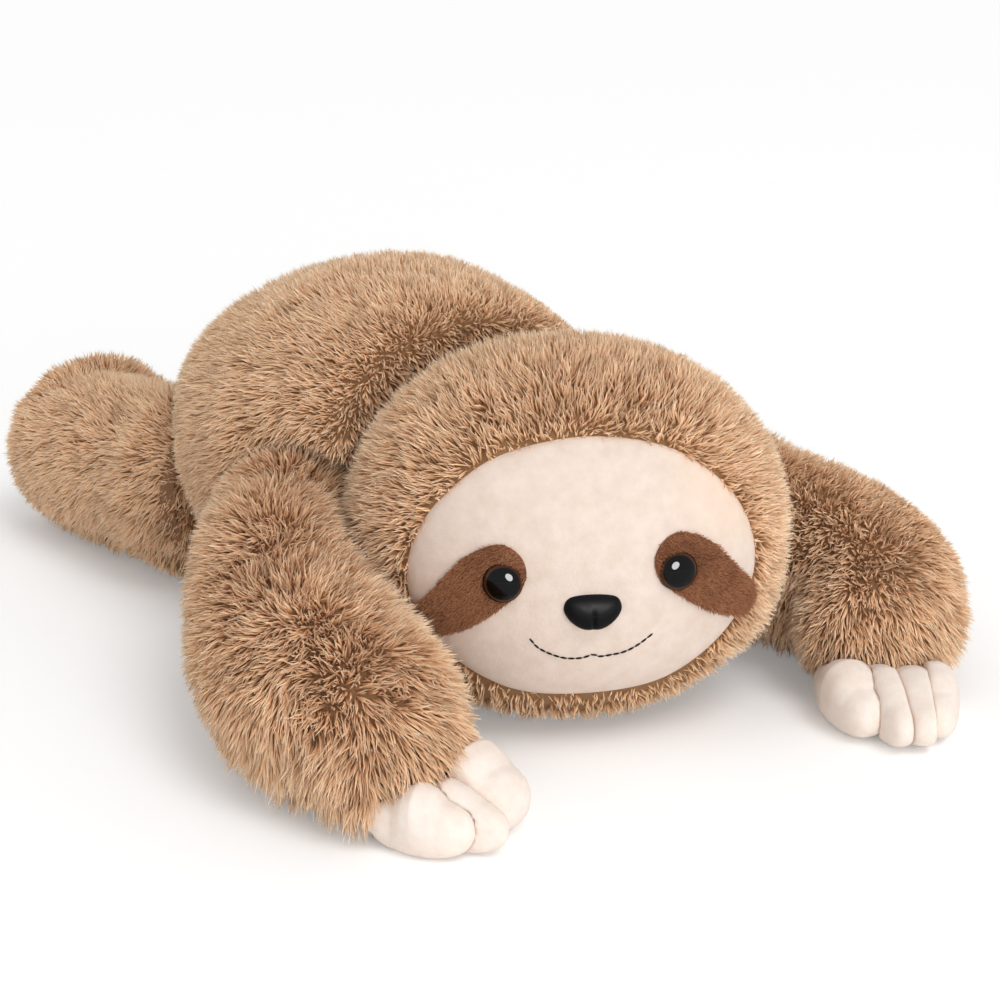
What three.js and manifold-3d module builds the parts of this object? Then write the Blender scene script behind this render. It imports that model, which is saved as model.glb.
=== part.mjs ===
// A plush sloth lying on its belly: furry skins over stuffing, a velvety face, safety eyes and nose,
// padded claws, and soft sewn seams at the neck, shoulders, hips and wrists.
// Millimetres, +Z up. The sloth faces -Y, its left is +X, and the origin lies under its belly.
import * as THREE from "three";
import { mergeVertices } from "three/addons/utils/BufferGeometryUtils.js";
import Module from "manifold-3d";

const wasm = await Module();
wasm.setup();

// Cloth, seams and clearances
const clothWall = 3;
const fitGap = 0.3;
const seatGap = 0.6;
const stuffingGap = 0.5;
const seamBand = 1;
const sweepGap = 3.8;
const headGap = 3.9;
const floorCut = 0.5;
const overrun = 40;

// Torso
const torsoLength = 280;
const torsoHalfWidth = 93;
const torsoHalfHeight = 83;
const torsoFrontBulge = 24;
const torsoRearBulge = 34;

// Head
const headHalfWidth = 88.5;
const headHalfHeight = 78;
const headFrontDepth = 74;
const headBackDepth = 62;
const headLead = 10;
const headSide = 4.5;
const headYaw = -26.4;
const headPitch = -5;
const headRoll = -2;
const headFullness = 2.15;

// Neck seam
const neckInset = 48;
const neckHeight = 80;
const neckBall = 41;
const neckOpening = 24;

// Face
const faceHalfWidth = 72;
const faceHalfHeight = 54;
const faceDrop = 3;
const patchCloth = 1.2;

// Eyes
const eyeRadius = 8.2;
const eyeDome = 5.4;
const eyeSpread = 35.3;
const eyeDrop = 3.5;
const eyeShank = 2.4;
const eyeShankLength = 12;
const washerRadius = 8;
const washerWall = 1.5;

// Nose and mouth
const noseHalfWidth = 11.6;
const noseHalfHeight = 7.4;
const noseDepth = 6;
const noseDrop = 17.2;
const noseShank = 2.4;
const noseShankLength = 13;
const threadRadius = 0.8;
const mouthHalfWidth = 24;
const mouthDepth = 9;
const mouthDrop = 37;

// Arms
const shoulderSide = 76;
const shoulderInset = 80;
const shoulderHeight = 62;
const shoulderBall = 37;
const leftArmReach = 62;
const rightArmReach = 48;
const armLength = 152;
const wristSide = 121;
const armHalfWidth = 42;
const armHalfHeight = 41.5;
const wristBall = 31;
const armOpening = 22;

// Claws
const clawLength = 43;
const clawHalfWidth = 11.5;
const clawHalfHeight = 14.5;
const clawAim = 27;
const clawSeatShare = 0.6;

// Legs and feet
const hipSide = 55;
const hipInset = 65;
const hipHeight = 47;
const hipBall = 46;
const legReach = 16;
const legLength = 110;
const legHalfWidth = 40;
const legHalfHeight = 41.5;
const legOpening = 22;
const footSide = 60;
const footReach = 119;
const footHalfWidth = 48;
const footHalfHeight = 41;
const footHalfDepth = 20;
const footYaw = 8;

// Places along the body, from the front and rear of the torso
const headForward = torsoLength / 2 + headLead;
const neckForward = torsoLength / 2 - neckInset;
const shoulderForward = torsoLength / 2 - shoulderInset;
const hipBack = torsoLength / 2 - hipInset;
const footBack = hipBack + footReach;

// Where a seam band starts and ends round its ball, in degrees from the ball's inner pole
const neckSeamAngles = [39, 51];
const limbSeamAngles = [54, 62];

// Motion that the sockets leave room for, and the widest step between the turns that cut them,
// in degrees
const nodRange = [0, 18];
const twistRange = [-8, 8];
const shoulderRaiseRange = [-10, 25];
const shoulderSweepRange = [0, 30];
const hipRaiseRange = [-10, 20];
const hipSpreadRange = [0, 25];
const sweepStep = 36;

// Facets
const torsoFacets = [24, 2, 3];
const headFacets = [24, 12];
const limbFacets = [12, 2, 3];
const footFacets = [14, 6];
const coarseShare = 0.5;
const ballFacets = [16, 9];
const bandFacets = [20, 1];
const roomSides = 8;
const clawFacets = [10, 1, 2];
const domeFacets = [14, 3];
const outlineSteps = 2;
const mouthSteps = 24;

// Torso stations: place along, half width, half height and lift off the floor, front to rear
const torsoShares = [
  [-0.5, 0.59, 0.7, 0.16],
  [-0.36, 0.78, 0.91, 0.03],
  [-0.05, 1, 1, -0.01],
  [0.24, 0.84, 0.8, -0.03],
  [0.42, 0.6, 0.58, 0],
];

// How far along its own radius a limb necks in after its root, and how thin it gets there
const neckingShares = [0.4, 0.915];

// Arm stations past the shoulder: reach out, place along, half width, half height and lift
const armShares = [
  [0.53, 0.21, 0.84, 0.97, 0.37],
  [0.77, 0.43, 0.98, 0.97, 0.11],
  [1, 0.72, 1.04, 0.95, 0],
  [0.95, 0.92, 0.87, 0.87, 0],
];

// Leg stations past the hip, in the same order
const legShares = [
  [0.42, 0.36, 1, 1, 0.04],
  [0.8, 0.72, 0.98, 0.97, 0],
  [0.92, 1, 0.9, 0.9, 0],
];

// Claw stations: place along, half width and half height, root to tip
const clawShares = [
  [0, 0.72, 0.8],
  [0.34, 1, 1],
  [0.72, 0.92, 0.82],
];

// Each paw's digits, thumb first: side step and forward step as shares of the claw's length,
// fan angle in degrees, length share, width share and height share
const pawDigits = {
  left: [
    [-0.5, -0.05, -14, 0.98, 1.15, 1.05],
    [-0.14, 0.06, -3, 1, 0.9, 0.95],
    [0.2, 0.06, 6, 1, 0.86, 0.95],
    [0.55, -0.02, 16, 0.95, 1.05, 0.98],
  ],
  right: [
    [-0.44, 0.02, -9, 0.95, 1.15, 1.12],
    [-0.1, 0.02, -3, 0.86, 0.8, 0.72],
    [0.18, 0.06, 3, 1, 0.86, 0.88],
    [0.52, -0.02, 9, 1.02, 1.1, 0.95],
  ],
};

// Face outline as shares of its half width and half height, anticlockwise from its right side
const faceOutlineShares = [
  [1, -0.08],
  [0.93, 0.32],
  [0.74, 0.65],
  [0.44, 0.9],
  [0, 1],
  [-0.44, 0.9],
  [-0.74, 0.65],
  [-0.93, 0.32],
  [-1, -0.08],
  [-0.9, -0.46],
  [-0.64, -0.78],
  [-0.3, -0.96],
  [0.3, -0.96],
  [0.64, -0.78],
  [0.9, -0.46],
];

// Eye patch outline as shares of the face's half sizes, for the left eye; the right one is mirrored
const patchOutlineShares = [
  [0.36, 0],
  [0.38, 0.18],
  [0.5, 0.27],
  [0.68, 0.16],
  [0.85, -0.1],
  [0.955, -0.29],
  [0.9, -0.46],
  [0.7, -0.39],
  [0.48, -0.19],
];

// Nose outline as shares of its half sizes
const noseOutlineShares = [
  [1, 0.45],
  [0.72, 0.92],
  [0, 1],
  [-0.72, 0.92],
  [-1, 0.45],
  [-0.62, -0.35],
  [-0.25, -0.9],
  [0.25, -0.9],
  [0.62, -0.35],
];

// Mouth line as shares of its half width and depth: a wide smile with a small peak under the nose
const mouthShares = [
  [-1, 1],
  [-0.9, 0.55],
  [-0.62, 0.08],
  [-0.3, -0.12],
  [0, 0.1],
  [0.3, -0.12],
  [0.62, 0.08],
  [0.9, 0.6],
  [1, 1.05],
];

const furMaterial = new THREE.MeshStandardMaterial({ color: 0xa57d5c, roughness: 0.95 });
const stuffingMaterial = new THREE.MeshStandardMaterial({ color: 0xf4f1ea, roughness: 1 });
const faceMaterial = new THREE.MeshStandardMaterial({ color: 0xf3e5d6, roughness: 0.9 });
const patchMaterial = new THREE.MeshStandardMaterial({ color: 0x734c37, roughness: 0.9 });
const clawMaterial = new THREE.MeshStandardMaterial({ color: 0xf7ece4, roughness: 0.9 });
const seamMaterial = new THREE.MeshStandardMaterial({ color: 0x8a6448, roughness: 0.9 });
const threadMaterial = new THREE.MeshStandardMaterial({ color: 0x1c1715, roughness: 0.8 });
const eyeMaterial = new THREE.MeshStandardMaterial({ color: 0x0d0b0a, roughness: 0.08 });
const noseMaterial = new THREE.MeshStandardMaterial({ color: 0x1e1e22, roughness: 0.4 });
const washerMaterial = new THREE.MeshStandardMaterial({ color: 0xe8e8e4, roughness: 0.5 });

const up = new THREE.Vector3(0, 0, 1);
const radians = THREE.MathUtils.degToRad;

// The closed surface of a geometry as a solid, after an optional placement.
function solidOf(geometry, placement = new THREE.Matrix4()) {
  const bare = geometry.clone();
  bare.deleteAttribute("normal");
  bare.deleteAttribute("uv");
  bare.applyMatrix4(placement);
  const merged = mergeVertices(bare, 1e-4);
  const mesh = new wasm.Mesh({
    numProp: 3,
    vertProperties: merged.attributes.position.array,
    triVerts: new Uint32Array(merged.index.array),
  });
  return new wasm.Manifold(mesh);
}

// The surface of a solid as a geometry.
function geometryOf(solid) {
  const mesh = solid.getMesh();
  const places = new Float32Array(mesh.numVert * 3);
  for (let i = 0; i < mesh.numVert; i++) {
    const start = i * mesh.numProp;
    places.set(mesh.vertProperties.subarray(start, start + 3), i * 3);
  }
  const geometry = new THREE.BufferGeometry();
  geometry.setAttribute("position", new THREE.BufferAttribute(places, 3));
  geometry.setIndex(new THREE.BufferAttribute(new Uint32Array(mesh.triVerts), 1));
  return geometry;
}

function union(...solids) {
  return solids.reduce((sum, solid) => sum.add(solid));
}

// Equal steps round a ring, from its lowest point, so that a form has an edge to rest on.
function ringAngles(count) {
  return Array.from({ length: count }, (_, j) => (2 * Math.PI * j) / count - Math.PI / 2);
}

// A closed form from equal rings of points between two poles, its faces turned outwards.
function closedForm(rings, startPole, endPole) {
  const count = rings[0].length;
  const points = [startPole, ...rings.flat(), endPole];
  const last = points.length - 1;
  const faces = [];
  for (let j = 0; j < count; j++) {
    const next = (j + 1) % count;
    faces.push([0, 1 + next, 1 + j]);
    for (let i = 0; i + 1 < rings.length; i++) {
      const here = 1 + i * count;
      const there = here + count;
      faces.push([here + j, here + next, there + next]);
      faces.push([here + j, there + next, there + j]);
    }
    const end = 1 + (rings.length - 1) * count;
    faces.push([last, end + j, end + next]);
  }
  const volume = faces.reduce((sum, [a, b, c]) => {
    return sum + points[a].dot(points[b].clone().cross(points[c]));
  }, 0);
  const index = faces.flatMap(([a, b, c]) => (volume > 0 ? [a, b, c] : [a, c, b]));
  const geometry = new THREE.BufferGeometry().setFromPoints(points);
  return geometry.setIndex(index);
}

// A stuffed form along a smooth path. A station has its centre, half width and half height;
// the ends close in round caps of the bulges given, and grow pads or thins the form all over.
function stuffedForm(stations, facets, bulges, grow = 0) {
  const [around, between, capRings] = facets;
  const path = new THREE.CatmullRomCurve3(stations.map((s) => s.centre), false, "catmullrom", 0.5);
  const halves = stations.map((s) => new THREE.Vector3(s.halfWidth, s.halfHeight, 0));
  const sizes = new THREE.CatmullRomCurve3(halves, false, "catmullrom", 0.5);
  const steps = (stations.length - 1) * between;
  function ring(t, push, shrink) {
    const along = path.getTangent(t);
    const side = along.clone().cross(up).normalize();
    const rise = side.clone().cross(along);
    const centre = path.getPoint(t).addScaledVector(along, push);
    const size = sizes.getPoint(t);
    return ringAngles(around).map((angle) => {
      return centre
        .clone()
        .addScaledVector(side, Math.cos(angle) * (size.x + grow) * shrink)
        .addScaledVector(rise, Math.sin(angle) * (size.y + grow) * shrink);
    });
  }
  const rings = [];
  const [startBulge, endBulge] = bulges.map((bulge) => bulge + grow);
  for (let k = 1; k < capRings; k++) {
    const angle = (Math.PI / 2) * (1 - k / capRings);
    rings.push(ring(0, -startBulge * Math.sin(angle), Math.cos(angle)));
  }
  for (let i = 0; i <= steps; i++) {
    rings.push(ring(i / steps, 0, 1));
  }
  for (let k = 1; k < capRings; k++) {
    const angle = (Math.PI / 2) * (k / capRings);
    rings.push(ring(1, endBulge * Math.sin(angle), Math.cos(angle)));
  }
  const startPole = path.getPoint(0).addScaledVector(path.getTangent(0), -startBulge);
  const endPole = path.getPoint(1).addScaledVector(path.getTangent(1), endBulge);
  return closedForm(rings, startPole, endPole);
}

function coarser(facets) {
  return facets.map((count) => Math.max(1, Math.round(count * coarseShare)));
}

function ball(centre, radius) {
  const sphere = new THREE.SphereGeometry(radius, ...ballFacets);
  return solidOf(sphere, new THREE.Matrix4().makeTranslation(centre));
}

// A ball whose flat facets lie outside the radius, for the socket that a ball turns in.
function socket(centre, radius) {
  const [around, along] = ballFacets;
  const clear = Math.cos(Math.PI / around) * Math.cos(Math.PI / (2 * along));
  return ball(centre, radius / clear);
}

// A round bar that starts at a point and runs along a direction.
function bar(start, direction, radius, length, sides = domeFacets[0]) {
  const cylinder = new THREE.CylinderGeometry(radius, radius, length, sides);
  cylinder.translate(0, length / 2, 0);
  return solidOf(cylinder, aimed(start, direction));
}

// The placement that puts the local Y axis along a direction, at a point.
function aimed(start, direction) {
  const turn = new THREE.Quaternion().setFromUnitVectors(
    new THREE.Vector3(0, 1, 0),
    direction.clone().normalize(),
  );
  return new THREE.Matrix4().compose(start, turn, new THREE.Vector3(1, 1, 1));
}

function turning(pivot, axis, degrees) {
  const turn = new THREE.Matrix4().makeRotationAxis(axis, radians(degrees));
  const there = new THREE.Matrix4().makeTranslation(pivot);
  const back = new THREE.Matrix4().makeTranslation(pivot.clone().negate());
  return there.multiply(turn).multiply(back);
}

// Everything that a solid passes through while it turns about a pivot on two axes.
function swept(solid, pivot, firstAxis, firstRange, secondAxis, secondRange) {
  const shape = geometryOf(solid);
  const copies = [];
  for (const first of stepsOf(firstRange)) {
    for (const second of stepsOf(secondRange)) {
      const placement = turning(pivot, firstAxis, first);
      placement.multiply(turning(pivot, secondAxis, second));
      copies.push(solidOf(shape, placement));
    }
  }
  return union(...copies);
}

function stepsOf([low, high]) {
  const count = Math.ceil(Math.abs(high - low) / sweepStep);
  const step = (high - low) / Math.max(1, count);
  return Array.from({ length: count + 1 }, (_, i) => low + step * i);
}

// The band of a sewn seam: a slice of a thin ball shell round an axis.
function seamRing(centre, axis, radius, seamAngles) {
  const [around, steps] = bandFacets;
  const [from, to] = seamAngles.map(radians);
  const inner = (radius + seatGap) / Math.cos(Math.PI / around);
  const outer = radius + seatGap + seamBand;
  const angles = Array.from({ length: steps + 1 }, (_, i) => from + ((to - from) * i) / steps);
  const profile = angles.map((angle) => [angle, inner]);
  profile.push(...angles.reverse().map((angle) => [angle, outer]));
  profile.push(profile[0]);
  const points = profile.map(([angle, r]) => {
    return new THREE.Vector2(r * Math.sin(angle), r * Math.cos(angle));
  });
  return solidOf(new THREE.LatheGeometry(points, around), aimed(centre, axis));
}

// The main body of a solid, without the crumbs that cuts leave.
function mainBody(solid) {
  return solid.decompose().reduce((most, part) => (part.volume() > most.volume() ? part : most));
}

// All that lies lower than a height.
function under(height) {
  const block = new THREE.BoxGeometry(floorSize, floorSize, floorSize);
  return solidOf(block, new THREE.Matrix4().makeTranslation(0, 0, height - floorSize / 2));
}

const floorSize = 4 * torsoLength;
const underFloor = under(0);
const underCavity = under(clothWall);
const underStuffing = under(clothWall + stuffingGap);

// The skin and the stuffing of a form, which is a function of its growth and its facets.
function sewn(form, facets, opening) {
  const cavity = form(-clothWall, coarser(facets)).subtract(underCavity);
  const core = form(-clothWall - stuffingGap, coarser(facets));
  const skin = form(0, facets).subtract(underFloor).subtract(cavity).subtract(opening);
  return { skin, stuffing: core.subtract(underStuffing) };
}

// A centre, half width and half height from a row of shares.
function stationOf(x, y, halfWidth, halfHeight, lift) {
  const centre = new THREE.Vector3(x, y, halfHeight + lift - floorCut);
  return { centre, halfWidth, halfHeight };
}

function mirrored(side) {
  return side === "left" ? 1 : -1;
}

// Torso
function torsoForm(grow, facets) {
  const stations = torsoShares.map(([along, width, height, lift]) =>
    stationOf(
      0,
      along * torsoLength,
      width * torsoHalfWidth,
      height * torsoHalfHeight,
      lift * torsoHalfHeight,
    ),
  );
  return solidOf(stuffedForm(stations, facets, [torsoFrontBulge, torsoRearBulge], grow));
}

// Head: its own frame has its face towards -Y
const headCentre = new THREE.Vector3(headSide, -headForward, headHalfHeight - floorCut);
const headTurn = new THREE.Euler(radians(headPitch), radians(headRoll), radians(headYaw), "ZXY");
const headPlacement = new THREE.Matrix4().makeRotationFromEuler(headTurn).setPosition(headCentre);
const neckCentre = new THREE.Vector3(0, -neckForward, neckHeight);
const neckBack = new THREE.Vector3(0, 1, 0);
const headFlats = headHalfWidth * (1 - Math.cos(Math.PI / coarser(headFacets)[0]));

// A point of the head's own rounded surface, in its own frame, from its place across and up.
function headSurface(x, z, grow) {
  const across = Math.abs(x / (headHalfWidth + grow)) ** headFullness;
  const rise = Math.abs(z / (headHalfHeight + grow)) ** headFullness;
  const left = Math.max(0, 1 - across - rise);
  return new THREE.Vector3(x, -(headFrontDepth + grow) * left ** (1 / headFullness), z);
}

function rounded(value) {
  return Math.sign(value) * Math.abs(value) ** (2 / headFullness);
}

function headEllipsoid(grow, facets) {
  const [around, along] = facets;
  const rings = [];
  for (let i = 1; i < along; i++) {
    const tilt = (Math.PI * i) / along;
    const depth = tilt < Math.PI / 2 ? headFrontDepth : headBackDepth;
    const y = -rounded(Math.cos(tilt)) * (depth + grow);
    const share = rounded(Math.sin(tilt));
    rings.push(
      ringAngles(around).map((angle) => {
        return new THREE.Vector3(
          rounded(Math.cos(angle)) * share * (headHalfWidth + grow),
          y,
          rounded(Math.sin(angle)) * share * (headHalfHeight + grow),
        );
      }),
    );
  }
  const front = new THREE.Vector3(0, -(headFrontDepth + grow), 0);
  const back = new THREE.Vector3(0, headBackDepth + grow, 0);
  return solidOf(closedForm(rings, front, back), headPlacement);
}

function headForm(grow, facets) {
  return headEllipsoid(grow, facets).add(ball(neckCentre, neckBall + grow));
}

// A straight prism through the front of the head, from an outline in the head's own frame.
function facePrism(outline) {
  const shape = new THREE.Shape();
  const corners = outline.map(([x, z]) => new THREE.Vector3(x, z, 0));
  const curve = new THREE.CatmullRomCurve3(corners, true);
  shape.setFromPoints(curve.getPoints(outline.length * outlineSteps).slice(0, -1));
  const depth = headFrontDepth + overrun;
  const prism = new THREE.ExtrudeGeometry(shape, { depth, bevelEnabled: false });
  prism.rotateX(Math.PI / 2);
  return solidOf(prism, headPlacement);
}

function faceOutline(shares, shrink = 0, mirror = 1) {
  const sums = shares.reduce(([x, z], row) => [x + row[0], z + row[1]], [0, 0]);
  const middle = sums.map((sum) => sum / shares.length);
  return shares.map(([x, z]) => {
    const dx = (x - middle[0]) * faceHalfWidth;
    const dz = (z - middle[1]) * faceHalfHeight;
    const keep = 1 - shrink / Math.hypot(dx, dz);
    const across = middle[0] * faceHalfWidth + dx * keep;
    const rise = middle[1] * faceHalfHeight + dz * keep;
    return [mirror * across, rise - faceDrop];
  });
}

// The outward direction of the head's surface at a point of it, in the head's own frame.
function headOutward(point) {
  const [x, y, z] = [
    [point.x, headHalfWidth],
    [point.y, headFrontDepth],
    [point.z, headHalfHeight],
  ].map(([value, half]) => (Math.sign(value) * Math.abs(value / half) ** (headFullness - 1)) / half);
  return new THREE.Vector3(x, y, z).normalize();
}

// The place and outward direction of a fitting on the front of the head, in the sloth's frame.
function facePlace(x, z) {
  const here = headSurface(x, z, 0);
  const outward = headOutward(here).transformDirection(headPlacement);
  return { place: here.applyMatrix4(headPlacement), outward };
}

// A dome on a shank, with its flat back at the place given: an eye or, with an outline, a nose.
function domedFitting(outline, depth, shankRadius, shankLength, place, outward) {
  const [, steps] = domeFacets;
  const rings = [outline.map(([x, z]) => new THREE.Vector3(x, 0, z))];
  for (let i = 1; i < steps; i++) {
    const angle = (Math.PI / 2) * (i / steps);
    rings.push(
      outline.map(([x, z]) => {
        return new THREE.Vector3(x * Math.cos(angle), depth * Math.sin(angle), z * Math.cos(angle));
      }),
    );
  }
  const dome = closedForm(rings, new THREE.Vector3(0, 0, 0), new THREE.Vector3(0, depth, 0));
  const start = new THREE.Vector3(0, depth / 2, 0);
  const inward = start.clone().negate();
  const shank = bar(start, inward, shankRadius, shankLength + depth / 2);
  return solidOf(geometryOf(solidOf(dome).add(shank)), faced(place, outward));
}

// The placement whose Y axis points outward while its Z axis stays as upright as it can.
function faced(place, outward) {
  const side = outward.clone().cross(up).normalize();
  const rise = side.clone().cross(outward);
  return new THREE.Matrix4().makeBasis(side, outward, rise).setPosition(place);
}

function washer(place, inward, shankRadius) {
  const inner = shankRadius + fitGap;
  const profile = [
    [inner, 0],
    [washerRadius, 0],
    [washerRadius, washerWall],
    [inner, washerWall],
    [inner, 0],
  ].map(([r, y]) => new THREE.Vector2(r, y));
  return solidOf(new THREE.LatheGeometry(profile, domeFacets[0]), aimed(place, inward));
}

// A fitting with all that it passes through: its dome, its washer, its hole and its pocket.
function fitting(x, z, outline, depth, shankRadius, shankLength, lift) {
  const { place, outward } = facePlace(x, z);
  const inward = outward.clone().negate();
  const seat = place.clone().addScaledVector(outward, lift + fitGap);
  const dish = (washerRadius * washerRadius) / (2 * headFrontDepth);
  const washerDepth = clothWall + fitGap + dish + 2 * headFlats;
  const washerPlace = place.clone().addScaledVector(inward, washerDepth);
  const holeStart = seat.clone().addScaledVector(outward, fitGap);
  return {
    dome: domedFitting(outline, depth, shankRadius, shankLength, seat, outward),
    washer: washer(washerPlace, inward, shankRadius),
    hole: bar(holeStart, inward, shankRadius + fitGap, shankLength + clothWall),
    pocket: union(
      bar(place, inward, washerRadius + fitGap, washerDepth + washerWall + fitGap),
      bar(place, inward, shankRadius + fitGap, shankLength + fitGap),
    ),
  };
}

function roundOutline(radius) {
  return Array.from({ length: domeFacets[0] }, (_, i) => {
    const angle = (2 * Math.PI * i) / domeFacets[0];
    return [radius * Math.cos(angle), radius * Math.sin(angle)];
  });
}

function noseOutline() {
  const corners = noseOutlineShares.map(([x, z]) => {
    return new THREE.Vector3(x * noseHalfWidth, 0, z * noseHalfHeight);
  });
  const points = new THREE.CatmullRomCurve3(corners, true).getPoints(domeFacets[0]);
  return points.slice(0, -1).map((point) => [point.x, point.z]);
}

function mouthThread() {
  const line = mouthShares.map(([x, z]) => {
    const rise = z * mouthDepth - mouthDrop;
    const place = headSurface(x * mouthHalfWidth, rise, threadRadius + fitGap);
    return place.applyMatrix4(headPlacement);
  });
  const path = new THREE.CatmullRomCurve3(line);
  const section = new THREE.Shape();
  section.absarc(0, 0, threadRadius, 0, 2 * Math.PI);
  const tube = new THREE.ExtrudeGeometry(section, {
    steps: mouthSteps,
    extrudePath: path,
    curveSegments: 3,
    bevelEnabled: false,
  });
  return solidOf(tube);
}

// Limbs: stations from the ball at the root, through the neck beside it, to the far end.
function limbStations(shares, root, radius, mirror, reach, length, halfWidth, halfHeight) {
  const past = shares.map(([out, along, width, height, lift]) =>
    stationOf(
      root.x + mirror * out * reach,
      root.y + along * length,
      width * halfWidth,
      height * halfHeight,
      lift * halfHeight,
    ),
  );
  const [neckAlong, neckThin] = neckingShares;
  const ahead = past[0].centre.clone().sub(root).normalize();
  const neckPlace = root.clone().addScaledVector(ahead, neckAlong * radius);
  return [
    { centre: root, halfWidth: radius, halfHeight: radius },
    { centre: neckPlace, halfWidth: neckThin * radius, halfHeight: neckThin * radius },
    ...past,
  ];
}

// The stuffing that fills the hole in a joint's ball.
function plugOf(centre, inward, opening, radius) {
  const post = bar(centre, inward, opening - stuffingGap, radius + overrun);
  return post.intersect(ball(centre, radius));
}

// The way from a limb's root into the body that carries it.
function inwardOf(stations) {
  return stations[0].centre.clone().sub(stations[1].centre).normalize();
}

// The room that the root of a limb turns in: a bar as thick as the limb, seen at each turn.
function limbRoom(stations, thickness, firstAxis, firstRange, secondAxis, secondRange) {
  const root = stations[0].centre;
  const outward = inwardOf(stations).negate();
  const radius = (thickness + sweepGap) / Math.cos(Math.PI / roomSides);
  const post = bar(root, outward, radius, root.distanceTo(stations.at(-1).centre), roomSides);
  return swept(post, root, firstAxis, firstRange, secondAxis, secondRange);
}

// What the head passes through while it nods and twists, and a gap round it.
function headPath(gap) {
  const head = headEllipsoid(gap + headFlats, coarser(headFacets));
  return swept(head, neckCentre, lengthways, twistRange, backwards, nodRange);
}

// The head's path with the neck's ball, which stays in its place.
function neckPath(gap, grow) {
  return headPath(gap - grow).add(socket(neckCentre, neckBall + seatGap - grow));
}

// The room that the head takes beside an arm, seen from the arm at each height it is raised to.
function cheekRoom(shoulder, grow) {
  return swept(neckPath(headGap, grow), shoulder, sideways, shoulderRaiseRange, up, [0, 0]);
}

function shoulderOf(side) {
  return new THREE.Vector3(mirrored(side) * shoulderSide, -shoulderForward, shoulderHeight);
}

function armStations(side) {
  const mirror = mirrored(side);
  const shoulder = shoulderOf(side);
  const spans = [side === "left" ? leftArmReach : rightArmReach, -armLength];
  const sizes = [armHalfWidth, armHalfHeight];
  const stations = limbStations(armShares, shoulder, shoulderBall, mirror, ...spans, ...sizes);
  const wristForward = shoulderForward + armLength;
  return [...stations, stationOf(mirror * wristSide, -wristForward, wristBall, wristBall, 0)];
}

function wristOf(side) {
  return armStations(side).at(-1).centre;
}

function armForm(side, grow, facets) {
  return solidOf(stuffedForm(armStations(side), facets, [shoulderBall, wristBall], grow));
}

function hipOf(side) {
  return new THREE.Vector3(mirrored(side) * hipSide, hipBack, hipHeight);
}

function legStations(side) {
  const spans = [legReach, legLength];
  const sizes = [legHalfWidth, legHalfHeight];
  return limbStations(legShares, hipOf(side), hipBall, mirrored(side), ...spans, ...sizes);
}

function legForm(side, grow, facets) {
  return solidOf(stuffedForm(legStations(side), facets, [hipBall, footHalfDepth], grow));
}

function footForm(side, grow, facets) {
  const sphere = new THREE.SphereGeometry(1, ...facets);
  sphere.rotateX(Math.PI / 2);
  sphere.scale(footHalfWidth + grow, footHalfDepth + grow, footHalfHeight + grow);
  sphere.rotateZ(mirrored(side) * radians(-footYaw));
  sphere.translate(mirrored(side) * footSide, footBack, footHalfHeight - floorCut);
  return solidOf(sphere);
}

// The ways ahead of and across a paw, fanned by an angle.
function pawWays(side, fan = 0) {
  const mirror = mirrored(side);
  const aim = radians(clawAim + fan);
  return {
    ahead: new THREE.Vector3(-mirror * Math.sin(aim), -Math.cos(aim), 0),
    lateral: new THREE.Vector3(mirror * Math.cos(aim), -Math.sin(aim), 0),
  };
}

function clawRoot(side, [across, forward]) {
  const { ahead, lateral } = pawWays(side);
  return wristOf(side)
    .addScaledVector(lateral, across * clawLength)
    .addScaledVector(ahead, wristBall - clawHalfWidth + forward * clawLength);
}

// One padded digit of a paw, pointing the way the paw aims.
function clawForm(side, digit) {
  const [, , fan, long, wide, tall] = digit;
  const { ahead } = pawWays(side, fan);
  const root = clawRoot(side, digit);
  const stations = clawShares.map(([along, width, height]) => {
    const centre = root.clone().addScaledVector(ahead, along * long * clawLength);
    const halfWidth = width * wide * clawHalfWidth;
    return stationOf(centre.x, centre.y, halfWidth, height * tall * clawHalfHeight, 0);
  });
  return solidOf(stuffedForm(stations, clawFacets, [clawHalfWidth, clawHalfWidth]));
}

// All that lies past a plane, on the side that its normal points to.
function beyond(place, normal) {
  const block = new THREE.BoxGeometry(floorSize, floorSize, floorSize);
  block.translate(0, floorSize / 2, 0);
  return solidOf(block, aimed(place, normal));
}

// The room beside a digit, past the crease that it shares with its neighbour.
function neighbourRoom(side, digit, neighbour) {
  const [here, there] = [clawRoot(side, digit), clawRoot(side, neighbour)];
  const share = digit[4] / (digit[4] + neighbour[4]);
  const { ahead } = pawWays(side, (digit[2] + neighbour[2]) / 2);
  const towards = there.clone().sub(here);
  towards.addScaledVector(ahead, -towards.dot(ahead));
  towards.setZ(0).normalize();
  const middle = here.clone().lerp(there, share).addScaledVector(towards, -fitGap / 2);
  return beyond(middle, towards);
}

// Builds a piece into its group's own frame, so that the group's place is its joint.
function hang(group, name, solid, material) {
  group.updateWorldMatrix(true, false);
  const geometry = geometryOf(solid).applyMatrix4(group.matrixWorld.clone().invert());
  geometry.computeVertexNormals();
  const mesh = new THREE.Mesh(geometry, material);
  mesh.name = name;
  group.add(mesh);
}

function jointGroup(parent, centre) {
  const group = new THREE.Group();
  parent.add(group);
  parent.updateWorldMatrix(true, false);
  group.position.copy(parent.worldToLocal(centre.clone()));
  return group;
}

const sloth = new THREE.Group();
const sides = ["left", "right"];
const sideways = new THREE.Vector3(1, 0, 0);
const backwards = sideways.clone().negate();
const lengthways = new THREE.Vector3(0, 1, 0);

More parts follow.
